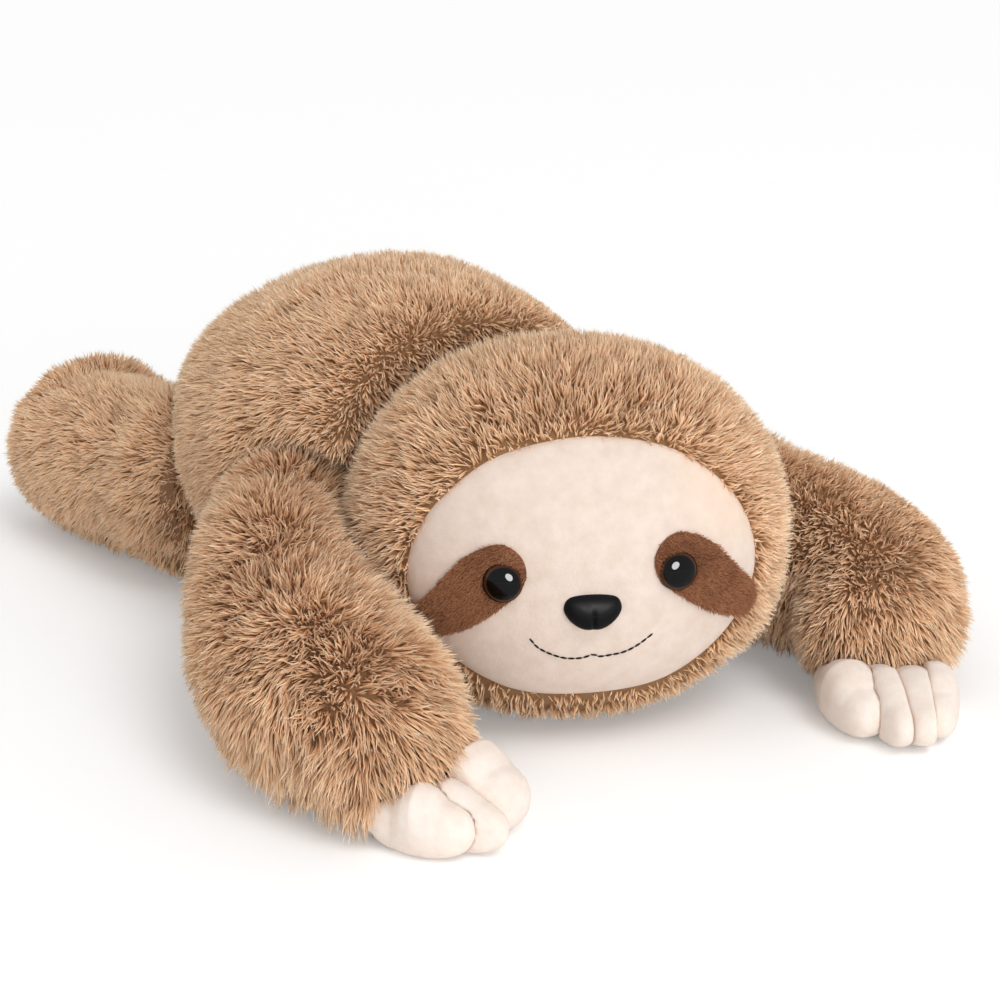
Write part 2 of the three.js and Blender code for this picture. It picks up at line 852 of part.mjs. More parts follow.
// What the limbs and the head sweep through, cut out of the torso
const socketGap = 2 * seatGap + seamBand;
const rooms = [headPath(headGap), socket(neckCentre, neckBall + socketGap)];
for (const side of sides) {
  const mirror = mirrored(side);
  const outward = up.clone().multiplyScalar(mirror);
  const inward = outward.clone().negate();
  const arm = armStations(side);
  const leg = legStations(side);
  rooms.push(socket(arm[0].centre, shoulderBall + socketGap));
  rooms.push(limbRoom(arm, shoulderBall, outward, shoulderSweepRange, backwards, shoulderRaiseRange));
  rooms.push(socket(leg[0].centre, hipBall + socketGap));
  rooms.push(limbRoom(leg, legHalfWidth, inward, hipSpreadRange, sideways, hipRaiseRange));
}
const room = union(...rooms);

const torso = sewn(torsoForm, torsoFacets, room);
hang(sloth, "torso_skin", mainBody(torso.skin), furMaterial);
hang(sloth, "torso_stuffing", mainBody(torso.stuffing.subtract(room)), stuffingMaterial);

// Head with its face, eyes, nose and mouth
const neck = jointGroup(sloth, neckCentre);
const neckHole = bar(neckCentre, neckBack, neckOpening, neckBall + overrun);
const head = sewn(headForm, headFacets, neckHole);
const neckPlug = plugOf(neckCentre, neckBack, neckOpening, neckBall);
const patchLift = patchCloth + fitGap;
const eyes = {};
for (const side of sides) {
  const across = mirrored(side) * eyeSpread;
  const sizes = [eyeDome, eyeShank, eyeShankLength];
  eyes[side] = fitting(across, -eyeDrop, roundOutline(eyeRadius), ...sizes, patchLift + fitGap);
}
const noseSizes = [noseDepth, noseShank, noseShankLength];
const nose = fitting(0, -noseDrop, noseOutline(), ...noseSizes, fitGap);
const fittings = [eyes.left, eyes.right, nose];
const holes = union(...fittings.map((f) => f.hole));
const pockets = union(...fittings.map((f) => f.pocket));
const faceHole = facePrism(faceOutline(faceOutlineShares));
const facePiece = facePrism(faceOutline(faceOutlineShares, fitGap));
hang(neck, "head_skin", head.skin.subtract(faceHole), furMaterial);
hang(neck, "head_stuffing", head.stuffing.add(neckPlug).subtract(pockets), stuffingMaterial);
hang(neck, "face_panel", head.skin.intersect(facePiece).subtract(holes), faceMaterial);
const patchShell = headEllipsoid(patchLift, headFacets).subtract(headEllipsoid(fitGap, headFacets));
for (const side of sides) {
  const outline = faceOutline(patchOutlineShares, 0, mirrored(side));
  const patch = patchShell.intersect(facePrism(outline)).subtract(eyes[side].hole);
  hang(neck, `eye_patch_${side}`, patch, patchMaterial);
  hang(neck, `eye_${side}`, eyes[side].dome, eyeMaterial);
  hang(neck, `eye_washer_${side}`, eyes[side].washer, washerMaterial);
}
hang(neck, "nose", nose.dome, noseMaterial);
hang(neck, "nose_washer", nose.washer, washerMaterial);
hang(neck, "mouth_stitching", mouthThread(), threadMaterial);
const neckSeam = seamRing(neckCentre, neckBack, neckBall, neckSeamAngles);
hang(neck, "neck_seam", neckSeam, seamMaterial);

// Arms with their claws
for (const side of sides) {
  const stations = armStations(side);
  const root = stations[0].centre;
  const inward = inwardOf(stations);
  const shoulder = jointGroup(sloth, root);
  const form = (grow, facets) => armForm(side, grow, facets).subtract(cheekRoom(root, grow));
  const arm = sewn(form, limbFacets, bar(root, inward, armOpening, shoulderBall + overrun));
  const plug = plugOf(root, inward, armOpening, shoulderBall);
  const band = seamRing(root, inward, shoulderBall, limbSeamAngles);
  const seam = band.subtract(neckPath(headGap, 0));
  hang(shoulder, `arm_skin_${side}`, arm.skin, furMaterial);
  hang(shoulder, `arm_stuffing_${side}`, arm.stuffing.add(plug), stuffingMaterial);
  hang(shoulder, `shoulder_seam_${side}`, seam, seamMaterial);
  const wrist = jointGroup(shoulder, wristOf(side));
  const { ahead } = pawWays(side);
  const pawSeat = wristOf(side).addScaledVector(ahead, wristBall * clawSeatShare);
  const wristRoom = socket(wristOf(side), wristBall + seatGap);
  const armRoom = wristRoom.add(beyond(pawSeat, ahead.clone().negate()));
  const digits = pawDigits[side];
  digits.forEach((digit, i) => {
    const neighbours = [digits[i - 1], digits[i + 1]].filter(Boolean);
    const beside = neighbours.map((neighbour) => neighbourRoom(side, digit, neighbour));
    const claw = clawForm(side, digit).subtract(union(underFloor, armRoom, ...beside));
    hang(wrist, `claw_${side}_${i + 1}`, claw, clawMaterial);
  });
}

// Legs with their feet
for (const side of sides) {
  const stations = legStations(side);
  const root = stations[0].centre;
  const inward = inwardOf(stations);
  const hip = jointGroup(sloth, root);
  const form = (grow, facets) => legForm(side, grow, facets);
  const leg = sewn(form, limbFacets, bar(root, inward, legOpening, hipBall + overrun));
  const plug = plugOf(root, inward, legOpening, hipBall);
  const seam = seamRing(root, inward, hipBall, limbSeamAngles);
  hang(hip, `leg_skin_${side}`, leg.skin, furMaterial);
  hang(hip, `leg_stuffing_${side}`, leg.stuffing.add(plug), stuffingMaterial);
  hang(hip, `hip_seam_${side}`, seam, seamMaterial);
  const legRoom = legForm(side, fitGap, limbFacets);
  const sole = (grow, facets) => footForm(side, grow, facets);
  const foot = sewn(sole, footFacets, legRoom);
  hang(hip, `foot_skin_${side}`, foot.skin, furMaterial);
  hang(hip, `foot_stuffing_${side}`, foot.stuffing.subtract(legRoom), stuffingMaterial);
}

export default sloth;
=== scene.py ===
"""A plush sloth lying on its belly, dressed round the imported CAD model.

Metres, in the CAD frame: +Z is up, the face looks along -Y and the sloth's left is +X.
"""

from __future__ import annotations

import sys

import logging
import math
from dataclasses import dataclass, field
from enum import Enum
from functools import partial
from typing import Callable, Sequence

import bmesh
import bpy
import numpy as np
from bpy.types import Material, Mesh, NodeSocket, NodeTree, Object
from mathutils import Matrix, Vector
from mathutils.bvhtree import BVHTree


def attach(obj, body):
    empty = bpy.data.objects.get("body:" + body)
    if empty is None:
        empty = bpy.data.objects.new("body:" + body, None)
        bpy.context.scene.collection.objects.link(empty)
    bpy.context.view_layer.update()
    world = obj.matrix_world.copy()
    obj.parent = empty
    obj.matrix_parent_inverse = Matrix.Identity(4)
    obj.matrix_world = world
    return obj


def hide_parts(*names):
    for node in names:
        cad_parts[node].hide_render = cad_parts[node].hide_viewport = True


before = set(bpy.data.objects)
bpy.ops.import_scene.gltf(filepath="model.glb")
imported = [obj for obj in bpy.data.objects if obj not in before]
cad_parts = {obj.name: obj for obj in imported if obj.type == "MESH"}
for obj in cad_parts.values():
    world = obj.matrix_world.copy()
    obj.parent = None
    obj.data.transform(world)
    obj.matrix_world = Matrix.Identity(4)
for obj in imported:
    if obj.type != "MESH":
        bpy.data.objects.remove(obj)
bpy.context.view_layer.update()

log = logging.getLogger("sloth")

Place = tuple[float, float, float]
MM = 0.001
BAKE_MAP = "OFBake"
SAME_PLACE = 0.01 * MM
NO_LENGTH = 1e-9
FIRST_SEED = 11


class Side(Enum):
    """The sloth's own left and right, with the sign of X on that side."""

    LEFT = 1
    RIGHT = -1

    @property
    def word(self) -> str:
        """The side as the CAD names spell it."""
        return self.name.lower()


# ---------------------------------------------------------------- shared helpers


def linear(code: str) -> tuple[float, float, float, float]:
    """Turn an sRGB hex colour into linear RGBA.

    Args:
        code: Six hex digits.

    Returns:
        Red, green and blue in linear light, and an alpha of one.
    """
    parts = [int(code[i : i + 2], 16) / 255 for i in (0, 2, 4)]
    curved = [c / 12.92 if c <= 0.04045 else ((c + 0.055) / 1.055) ** 2.4 for c in parts]
    return (*curved, 1.0)


# Node types and settings that come up again and again
MATHS, VECTORS, NOISE = "ShaderNodeMath", "ShaderNodeVectorMath", "ShaderNodeTexNoise"
RAMP, SPAN, MIX = "ShaderNodeValToRGB", "ShaderNodeMapRange", "ShaderNodeMix"
JOINED, SPLIT = "ShaderNodeCombineXYZ", "ShaderNodeSeparateXYZ"
PLACED, STORED = "GeometryNodeSetPosition", "GeometryNodeStoreNamedAttribute"
ADD, MULTIPLY, SUBTRACT, MULTIPLY_ADD, LESS_THAN, MAXIMUM, SCALE = (
    {"operation": name}
    for name in ("ADD", "MULTIPLY", "SUBTRACT", "MULTIPLY_ADD", "LESS_THAN", "MAXIMUM", "SCALE")
)


def add_node(
    tree: NodeTree,
    kind: str,
    settings: dict | None = None,
    inputs: dict | None = None,
    gives: int | str = 0,
) -> NodeSocket | None:
    """Add one node with its settings, its input values and its incoming links.

    Args:
        tree: The material or geometry tree.
        kind: The node's type name.
        settings: Properties of the node, and "stops" for the places and colours of a ramp.
        inputs: The value of each input, or the socket that feeds it, by name or number.
        gives: The output that is wanted, by name or number.

    Returns:
        That output, or nothing where the node has none.
    """
    node = tree.nodes.new(kind)
    for name, value in (settings or {}).items():
        if name == "stops":
            set_stops(node.color_ramp, value)
        else:
            setattr(node, name, value)
    fill(node, inputs or {})
    return node.outputs[gives] if node.outputs else None


def fill(node: bpy.types.Node, inputs: dict) -> None:
    """Link or set a node's inputs.

    Args:
        node: Any node.
        inputs: The value of each input, or the socket that feeds it, by name or number.
    """
    for key, value in inputs.items():
        if isinstance(value, NodeSocket):
            node.id_data.links.new(value, node.inputs[key])
        else:
            node.inputs[key].default_value = value


def set_stops(band: bpy.types.ColorRamp, stops: Sequence[tuple[float, str]]) -> None:
    """Give a colour band its places and hex colours, in order.

    Args:
        band: The colour band of a ramp.
        stops: A place from zero to one and a hex colour for each stop.
    """
    while len(band.elements) < len(stops):
        band.elements.new(0.5)
    for element, (place, code) in zip(band.elements, stops):
        element.position = place
        element.color = linear(code)


def stand(name: str, data: bpy.types.ID) -> Object:
    """Make an object at the origin and put it in the scene.

    Args:
        name: The object's name.
        data: Its mesh, camera or lamp.

    Returns:
        The linked object.
    """
    thing = bpy.data.objects.new(name, data)
    bpy.context.scene.collection.objects.link(thing)
    return thing


def mesh_object(
    name: str,
    points: Sequence[Sequence[float]],
    faces: Sequence[Sequence[int]],
    edges: Sequence[tuple[int, int]] = (),
) -> Object:
    """Make a smooth-shaded mesh object at the origin from points in metres.

    Args:
        name: The piece's name.
        points: Places of its vertices.
        faces: Vertex numbers of its faces.
        edges: Vertex numbers of its loose edges.

    Returns:
        The linked object.
    """
    mesh = bpy.data.meshes.new(name)
    mesh.from_pydata([tuple(p) for p in points], edges, [tuple(f) for f in faces])
    mesh.validate()
    mesh.shade_smooth()
    return stand(name, mesh)


def face_outwards(piece: Object) -> None:
    """Merge doubled points, turn every face of a closed piece outwards and shade it smooth.

    Args:
        piece: A closed mesh piece.
    """
    bm = bmesh.new()
    bm.from_mesh(piece.data)
    bmesh.ops.remove_doubles(bm, verts=bm.verts, dist=SAME_PLACE)
    bmesh.ops.recalc_face_normals(bm, faces=bm.faces)
    bm.to_mesh(piece.data)
    bm.free()
    piece.data.shade_smooth()


def tree_of(piece: Object) -> BVHTree:
    """A search tree of a piece's surface.

    Args:
        piece: A mesh piece.

    Returns:
        The tree, in the sloth's frame.
    """
    mesh = piece.data
    corners = [v.co.copy() for v in mesh.vertices]
    return BVHTree.FromPolygons(corners, [tuple(p.vertices) for p in mesh.polygons])


def rows_of(items: bpy.types.bpy_prop_collection, key: str) -> np.ndarray:
    """Read a vector from each item of a mesh.

    Args:
        items: Its vertices, normals or faces.
        key: The vector's name.

    Returns:
        One row of X, Y and Z for each item.
    """
    rows = np.empty(len(items) * 3, np.float32)
    items.foreach_get(key, rows)
    return rows.reshape(-1, 3).astype(float)


def places_of(mesh: Mesh) -> np.ndarray:
    """The places of a mesh's vertices as rows."""
    return rows_of(mesh.vertices, "co")


def set_places(mesh: Mesh, rows: np.ndarray) -> None:
    """Move a mesh's vertices to new places."""
    mesh.vertices.foreach_set("co", rows.astype(np.float32).ravel())
    mesh.update()


def baked(piece: Object) -> Mesh:
    """A piece's mesh with its modifiers applied.

    Args:
        piece: The piece, which keeps its modifiers.

    Returns:
        A new mesh.
    """
    graph = bpy.context.evaluated_depsgraph_get()
    graph.update()
    return bpy.data.meshes.new_from_object(piece.evaluated_get(graph), depsgraph=graph)


def settle_mesh(piece: Object, smooth: bool = True) -> None:
    """Apply a piece's modifiers in place.

    Args:
        piece: The piece, left with no modifiers.
        smooth: Whether it is shaded smooth.
    """
    mesh = baked(piece)
    piece.modifiers.clear()
    piece.data = mesh
    if smooth:
        mesh.shade_smooth()


def modify(piece: Object, kind: str, **settings: float | str | bool) -> None:
    """Run one modifier on a piece and keep what it makes.

    Args:
        piece: The piece.
        kind: The modifier's type.
        settings: Its properties.
    """
    modifier = piece.modifiers.new(kind, kind)
    for name, value in settings.items():
        setattr(modifier, name, value)
    settle_mesh(piece)


def start_tree(
    name: str, inputs: dict[str, str]
) -> tuple[NodeTree, Callable, bpy.types.NodeOutputs]:
    """Start a geometry tree with named inputs beside its geometry.

    Args:
        name: The tree's name.
        inputs: The kind of socket of each input.

    Returns:
        The tree, what adds a node to it, and the sockets that give its inputs.
    """
    tree = bpy.data.node_groups.new(name, "GeometryNodeTree")
    for label, kind in (("Geometry", "Geometry"), *inputs.items()):
        tree.interface.new_socket(label, in_out="INPUT", socket_type=f"NodeSocket{kind}")
    tree.interface.new_socket("Geometry", in_out="OUTPUT", socket_type="NodeSocketGeometry")
    return tree, partial(add_node, tree), tree.nodes.new("NodeGroupInput").outputs


def end_tree(add: Callable, shape: NodeSocket, finish: NodeSocket) -> None:
    """End a geometry tree by setting a material on its plain shape."""
    dressed = add("GeometryNodeSetMaterial", {}, {"Geometry": shape, "Material": finish})
    add("NodeGroupOutput", {}, {0: dressed})


def run_tree(piece: Object, tree: NodeTree, values: dict, smooth: bool) -> None:
    """Run a geometry tree on a piece and keep the plain mesh that it makes.

    Args:
        piece: The piece.
        tree: The tree.
        values: The value of each named input, set by the input's identifier.
        smooth: Whether the mesh is shaded smooth.
    """
    modifier = piece.modifiers.new(tree.name, "NODES")
    modifier.node_group = tree
    for item in tree.interface.items_tree:
        if item.in_out == "INPUT" and item.name in values:
            modifier[item.identifier] = values[item.name]
    settle_mesh(piece, smooth)


def dress(piece: Object, material: Material) -> None:
    """Give a piece one material."""
    piece.data.materials.clear()
    piece.data.materials.append(material)


def smooth_step(value: np.ndarray, low: float, high: float) -> np.ndarray:
    """Rise smoothly from zero at low to one at high."""
    share = np.clip((value - low) / (high - low), 0, 1)
    return share * share * (3 - 2 * share)


def between(knots: Sequence[np.ndarray], t: float) -> np.ndarray:
    """A place on the Catmull-Rom line from the second of four knots to the third.

    Args:
        knots: Four points in order.
        t: The share of the way, from zero to one.

    Returns:
        The place.
    """
    a, b, c, d = knots
    return (
        b
        + 0.5 * t * (c - a)
        + t * t * (a - 2.5 * b + 2 * c - 0.5 * d)
        + t**3 * (-0.5 * a + 1.5 * b - 1.5 * c + 0.5 * d)
    )


def closed_curve(points: np.ndarray, steps: int) -> np.ndarray:
    """A smooth closed line through points.

    Args:
        points: The points, in order round the line.
        steps: How many places to give for each point.

    Returns:
        Places along the line.
    """
    count = len(points)
    rows = []
    for i in range(count):
        knots = [points[(i + k) % count] for k in (-1, 0, 1, 2)]
        rows += [between(knots, k / steps) for k in range(steps)]
    return np.array(rows)


def set_attribute(mesh: Mesh, name: str, rows: np.ndarray) -> None:
    """Store a value or a vector on each vertex of a mesh.

    Args:
        mesh: The mesh.
        name: The attribute's name.
        rows: What is stored, in the order of the vertices.
    """
    if name in mesh.attributes:
        mesh.attributes.remove(mesh.attributes[name])
    kind, key = ("FLOAT_VECTOR", "vector") if rows.ndim == 2 else ("FLOAT", "value")
    attribute = mesh.attributes.new(name, kind, "POINT")
    attribute.data.foreach_set(key, np.ascontiguousarray(rows, np.float32).ravel())


def finish_piece(
    piece: Object,
    finish: Material | None,
    body: str,
    slot: str,
    *nodes: str,
) -> None:
    """Dress a piece, let it stand for its CAD nodes and move it with a body.

    Args:
        piece: The finished piece.
        finish: Its material, or nothing where it has one.
        body: The CAD body that carries it.
        slot: Not used.
        nodes: The CAD nodes that it stands for.
    """
    if finish:
        dress(piece, finish)
    if nodes:
        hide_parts(*nodes)
    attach(piece, body)
    log.info("%s: %d faces on %s", piece.name, len(piece.data.polygons), body)


# ---------------------------------------------------------------- finishes


def start_material(name: str, roughness: float) -> tuple[Material, Callable]:
    """Start a material with one Principled shader.

    Args:
        name: The material's name.
        roughness: The shader's roughness.

    Returns:
        The material, and what adds a node to its tree.
    """
    material = bpy.data.materials.new(name)
    material.use_nodes = True
    shade(material, {"Roughness": roughness})
    return material, partial(add_node, material.node_tree)


def shade(material: Material, inputs: dict) -> Material:
    """Link or set inputs of a material's shader, and give the material back."""
    fill(material.node_tree.nodes["Principled BSDF"], inputs)
    return material


@dataclass(frozen=True)
class PlushPile:
    """Polyester plush pile, heat-set and brushed: pale at the tips, and painted darker towards the
    root as the shade between the tufts.
    """

    name: str = "brushed_polyester_pile"
    root: str = "b4845a"
    middle: str = "f6cb9f"
    upper: str = "ffe2bf"
    tip: str = "fff2da"
    places_along: tuple[float, ...] = (0.0, 0.4, 0.75, 1.0)
    roughness: float = 0.75
    sheen: float = 0.1

    def material(self) -> Material:
        """The strand material: U is a strand's own tint, V runs from its root to its tip.

        Returns:
            The material.
        """
        material, add = start_material(self.name, self.roughness)
        split = add(SPLIT, {}, {0: add("ShaderNodeUVMap", {"uv_map": BAKE_MAP})}).node.outputs
        stops = tuple(zip(self.places_along, (self.root, self.middle, self.upper, self.tip)))
        # Each strand's tint darkens it partly as its own random tone and partly as painted shade
        # between the tufts
        shades = ((0.0, "c6b9ae"), (0.5, "f4eee9"), (1.0, "ffffff"))
        # The dark root of this ramp is painted shade of the pile's depth; the pale tips are the
        # pile's own colour
        along = add(RAMP, {"stops": stops}, {"Fac": split["Y"]})
        tint = add(RAMP, {"stops": shades}, {"Fac": split["X"]})
        blend = {"data_type": "RGBA", "blend_type": "MULTIPLY"}
        inputs = {
            "Base Color": add(MIX, blend, {0: 1.0, 6: along, 7: tint}, 2),
            "Specular IOR Level": 0.12,
            "Sheen Weight": self.sheen,
            "Sheen Roughness": 0.5,
        }
        return shade(material, inputs)


@dataclass(frozen=True)
class MottledCloth:
    """A cloth with two shades in soft patches and a fine raised grain."""

    name: str
    dark: str
    light: str
    patch_size: float
    grain_size: float
    bump: float
    roughness: float = 0.9
    sheen: float = 0.3
    blush: str = ""
    blush_place: Place = (0.0, 0.0, 0.0)
    blush_size: float = 0.05
    blush_share: float = 0.55
    patch_noise: tuple[float, float] = (3.0, 0.6)
    grain_noise: tuple[float, float] = (4.0, 0.65)
    shade_span: tuple[float, float] = (0.3, 0.7)

    def material(self) -> Material:
        """The cloth's material, patterned in millimetres on Object coordinates.

        Returns:
            The material.
        """
        material, add = start_material(self.name, self.roughness)
        place = add("ShaderNodeTexCoord", gives="Object")
        sizes = ((self.patch_size, *self.patch_noise), (self.grain_size, *self.grain_noise))
        patches, grain = (
            add(NOISE, {}, {"Scale": 1 / size, "Detail": fine, "Roughness": rough, "Vector": place})
            for size, fine, rough in sizes
        )
        stops = tuple(zip(self.shade_span, (self.dark, self.light)))
        colour = add(RAMP, {"stops": stops}, {"Fac": patches})
        if self.blush:
            colour = self.blushed(add, place, colour)
        rise = {"Strength": self.bump, "Distance": self.grain_size * 0.5, "Height": grain}
        inputs = {
            "Base Color": colour,
            "Normal": add("ShaderNodeBump", {}, rise),
            "Specular IOR Level": 0.1,
            "Sheen Weight": self.sheen,
            "Sheen Roughness": 0.4,
        }
        return shade(material, inputs)

    def blushed(
        self, add: Callable, place: NodeSocket, colour: NodeSocket
    ) -> NodeSocket:
        """Warm the cloth's colour round one place.

        Args:
            add: Adds a node to the material's tree.
            place: Object coordinates.
            colour: The colour so far.

        Returns:
            The colour with its blush.
        """
        distance = {"operation": "DISTANCE"}
        away = add(VECTORS, distance, {0: place, 1: self.blush_place}, "Value")
        fade = {"From Max": self.blush_size, "To Min": self.blush_share, "To Max": 0.0}
        near = add(SPAN, {"interpolation_type": "SMOOTHSTEP"}, {"Value": away, **fade})
        return add(MIX, {"data_type": "RGBA"}, {0: near, 6: colour, 7: linear(self.blush)}, 2)


@dataclass(frozen=True)
class MouldedPlastic:
    """Injection-moulded plastic with faint unevenness in its polish."""

    name: str
    colour: str
    roughness: float
    specular: float = 0.5
    unevenness: float = 2.5 * MM
    dullest: float = 1.25
    glossiest: float = 0.8

    def material(self) -> Material:
        """The plastic's material, its roughness varied by a soft noise.

        Returns:
            The material.
        """
        material, add = start_material(self.name, self.roughness)
        place = add("ShaderNodeTexCoord", gives="Object")
        noise = add(NOISE, {}, {"Scale": 1 / self.unevenness, "Detail": 3.0, "Vector": place})
        ends = {"To Min": self.roughness * self.glossiest, "To Max": self.roughness * self.dullest}
        inputs = {
            "Roughness": add(SPAN, {}, {"Value": noise, **ends}),
            "Base Color": linear(self.colour),
            "Specular IOR Level": self.specular,
        }
        return shade(material, inputs)


@dataclass(frozen=True)
class SafetyEye:
    """A polished acrylic dome over a dark pupil and a thin brown iris, in rings."""

    name: str
    centre: Place
    outward: Place
    radius: float
    pupil: str = "050506"
    iris: str = "4a2c1b"
    edge: str = "0b0807"
    rings: tuple[float, ...] = (0.0, 0.78, 0.84, 0.92, 0.96, 1.0)
    roughness: float = 0.06

    def material(self) -> Material:
        """The eye's material: rings by distance from its middle, under a clear coat.

        Returns:
            The material.
        """
        material, add = start_material(self.name, self.roughness)
        place = add("ShaderNodeTexCoord", gives="Object")
        arm = add(VECTORS, SUBTRACT, {0: place, 1: self.centre})
        side = add(VECTORS, {"operation": "CROSS_PRODUCT"}, {0: arm, 1: self.outward})
        away = add(VECTORS, {"operation": "LENGTH"}, {0: side}, "Value")
        share = add(SPAN, {}, {"Value": away, "From Max": self.radius})
        pupil, iris, edge = self.pupil, self.iris, self.edge
        stops = tuple(zip(self.rings, (pupil, pupil, iris, iris, edge, edge)))
        inputs = {
            "Base Color": add(RAMP, {"stops": stops}, {"Fac": share}),
            "Specular IOR Level": 0.0,
            "Coat Weight": 0.35,
            "Coat IOR": 1.5,
            "Coat Roughness": 0.02,
        }
        return shade(material, inputs)


# Polyester pile, heat-set and brushed: matte strands, painted darker at the root as shade, so tufts
# read as depth.
# Real strands are about 0.05 mm thick; these are drawn near 1 mm, which is the tufts' own grain.
PILE = PlushPile()
# Warp-knitted backing: dull brown, seen only as darkness where the pile parts
BACKING = MottledCloth(
    "knitted_pile_backing", "86633f", "987350", 12 * MM, 1.2 * MM, 0.5, roughness=0.95, sheen=0.1
)
# Cream short-pile minky velour: a soft matte bloom with faint cloudy shades and a warm blush.
# Its real pile is 0.2 mm across, so the grain is drawn at 1.1 mm to show.
FACE_CLOTH = MottledCloth(
    "cream_minky_velour",
    "dfccbd",
    "e9d8cc",
    7 * MM,
    1.1 * MM,
    0.35,
    sheen=0.08,
    blush="f3d5bb",
    blush_place=(0.036, -0.215, 0.112),
    blush_size=42 * MM,
)
# Paler velour from the same cloth, stretched over firm stuffing: nearly even, barely grained
CLAW_CLOTH = MottledCloth(
    "pale_minky_velour", "f1e0d3", "f7ebe1", 6 * MM, 1.0 * MM, 0.4, sheen=0.08
)
# Chestnut velour under its own nap: short, dense and dull, with a grain drawn at 0.9 mm to show
PATCH_CLOTH = MottledCloth("brown_minky_velour", "6b3f27", "855236", 3 * MM, 0.9 * MM, 0.6)
# Napped minky: fine short strands, paler at the tips, that blur the patch's edge
NAP = PlushPile(
    "brown_minky_nap", "84502f", "ab724c", "bb845c", "cb976f", roughness=0.85, sheen=0.1
)
# Folded seam allowance: dull brown knit in the creases between the bodies
SEAM_CLOTH = MottledCloth("sewn_seam_tape", "7a583e", "90694c", 4 * MM, 0.8 * MM, 0.6)
# Black embroidery floss: dark twisted stitches with hardly any shine
THREAD = MottledCloth("black_embroidery_thread", "15110f", "241d1a", 1.5 * MM, 0.4 * MM, 0.8)
# Nose moulded in soft black plastic with a satin grain: a broad dim highlight, no mirror
NOSE_PLASTIC = MouldedPlastic("satin_moulded_nose", "08080a", 0.55, specular=0.08)
# Natural polyethylene: milky white and waxy, hidden behind the face
WASHER_PLASTIC = MouldedPlastic("natural_polyethylene_washer", "e8e8e4", 0.45)


# ---------------------------------------------------------------- stuffed bodies


@dataclass
class StuffedBody:
    """One sewn and stuffed body: its CAD skins and stuffing become one padded form."""

    body: str
    skins: tuple[str, ...]
    cores: tuple[str, ...]
    bands: int = 2
    pile: float = 1.0
    taper: float = 0.0
    also: tuple[str, ...] = ()
    voxel: float = 4 * MM
    fill: float = 0.8
    core_growth: float = 1.0 * MM
    smoothing: int = 6
    piece: Object = field(init=False)

    def make(self) -> None:
        """Join the body's CAD solids and remesh them into one closed, rounded form."""
        bm = bmesh.new()
        for name in (*self.skins, *self.also, *self.cores):
            part = bmesh.new()
            part.from_mesh(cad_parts[name].data)
            bmesh.ops.remove_doubles(part, verts=part.verts, dist=SAME_PLACE)
            part.normal_update()
            if name in self.cores:
                for vert in part.verts:
                    vert.co += vert.normal * self.core_growth
            loose = bpy.data.meshes.new("loose")
            part.to_mesh(loose)
            part.free()
            bm.from_mesh(loose)
            bpy.data.meshes.remove(loose)
        mesh = bpy.data.meshes.new(self.body)
        bm.to_mesh(mesh)
        bm.free()
        self.piece = stand(f"{self.body}_padding", mesh)
        modify(self.piece, "REMESH", mode="VOXEL", voxel_size=self.voxel, use_smooth_shade=True)
        self.keep_largest()
        modify(self.piece, "SMOOTH", factor=0.5, iterations=self.smoothing)

    def keep_largest(self) -> None:
        """Drop every island of the form but the largest."""
        bm = bmesh.new()
        bm.from_mesh(self.piece.data)
        left = set(bm.verts)
        islands: list[list[bmesh.types.BMVert]] = []
        while left:
            start = left.pop()
            island, stack = [start], [start]
            while stack:
                near = {v for edge in stack.pop().link_edges for v in edge.verts} & left
                left -= near
                island.extend(near)
                stack.extend(near)
            islands.append(island)
        islands.sort(key=len)
        crumbs = [vert for island in islands[:-1] for vert in island]
        bmesh.ops.delete(bm, geom=crumbs, context="VERTS")
        bm.to_mesh(self.piece.data)
        bm.free()

    def rest_on_floor(self) -> None:
        """Flatten what would lie lower than the floor."""
        rows = places_of(self.piece.data)
        rows[:, 2] = np.maximum(rows[:, 2], 0)
        set_places(self.piece.data, rows)

    def ride(self, finish: Material) -> None:
        """Let the padded form stand for its CAD nodes and move with its body.

        Args:
            finish: The backing's material.
        """
        finish_piece(self.piece, finish, self.body, "fur", *self.skins, *self.cores)


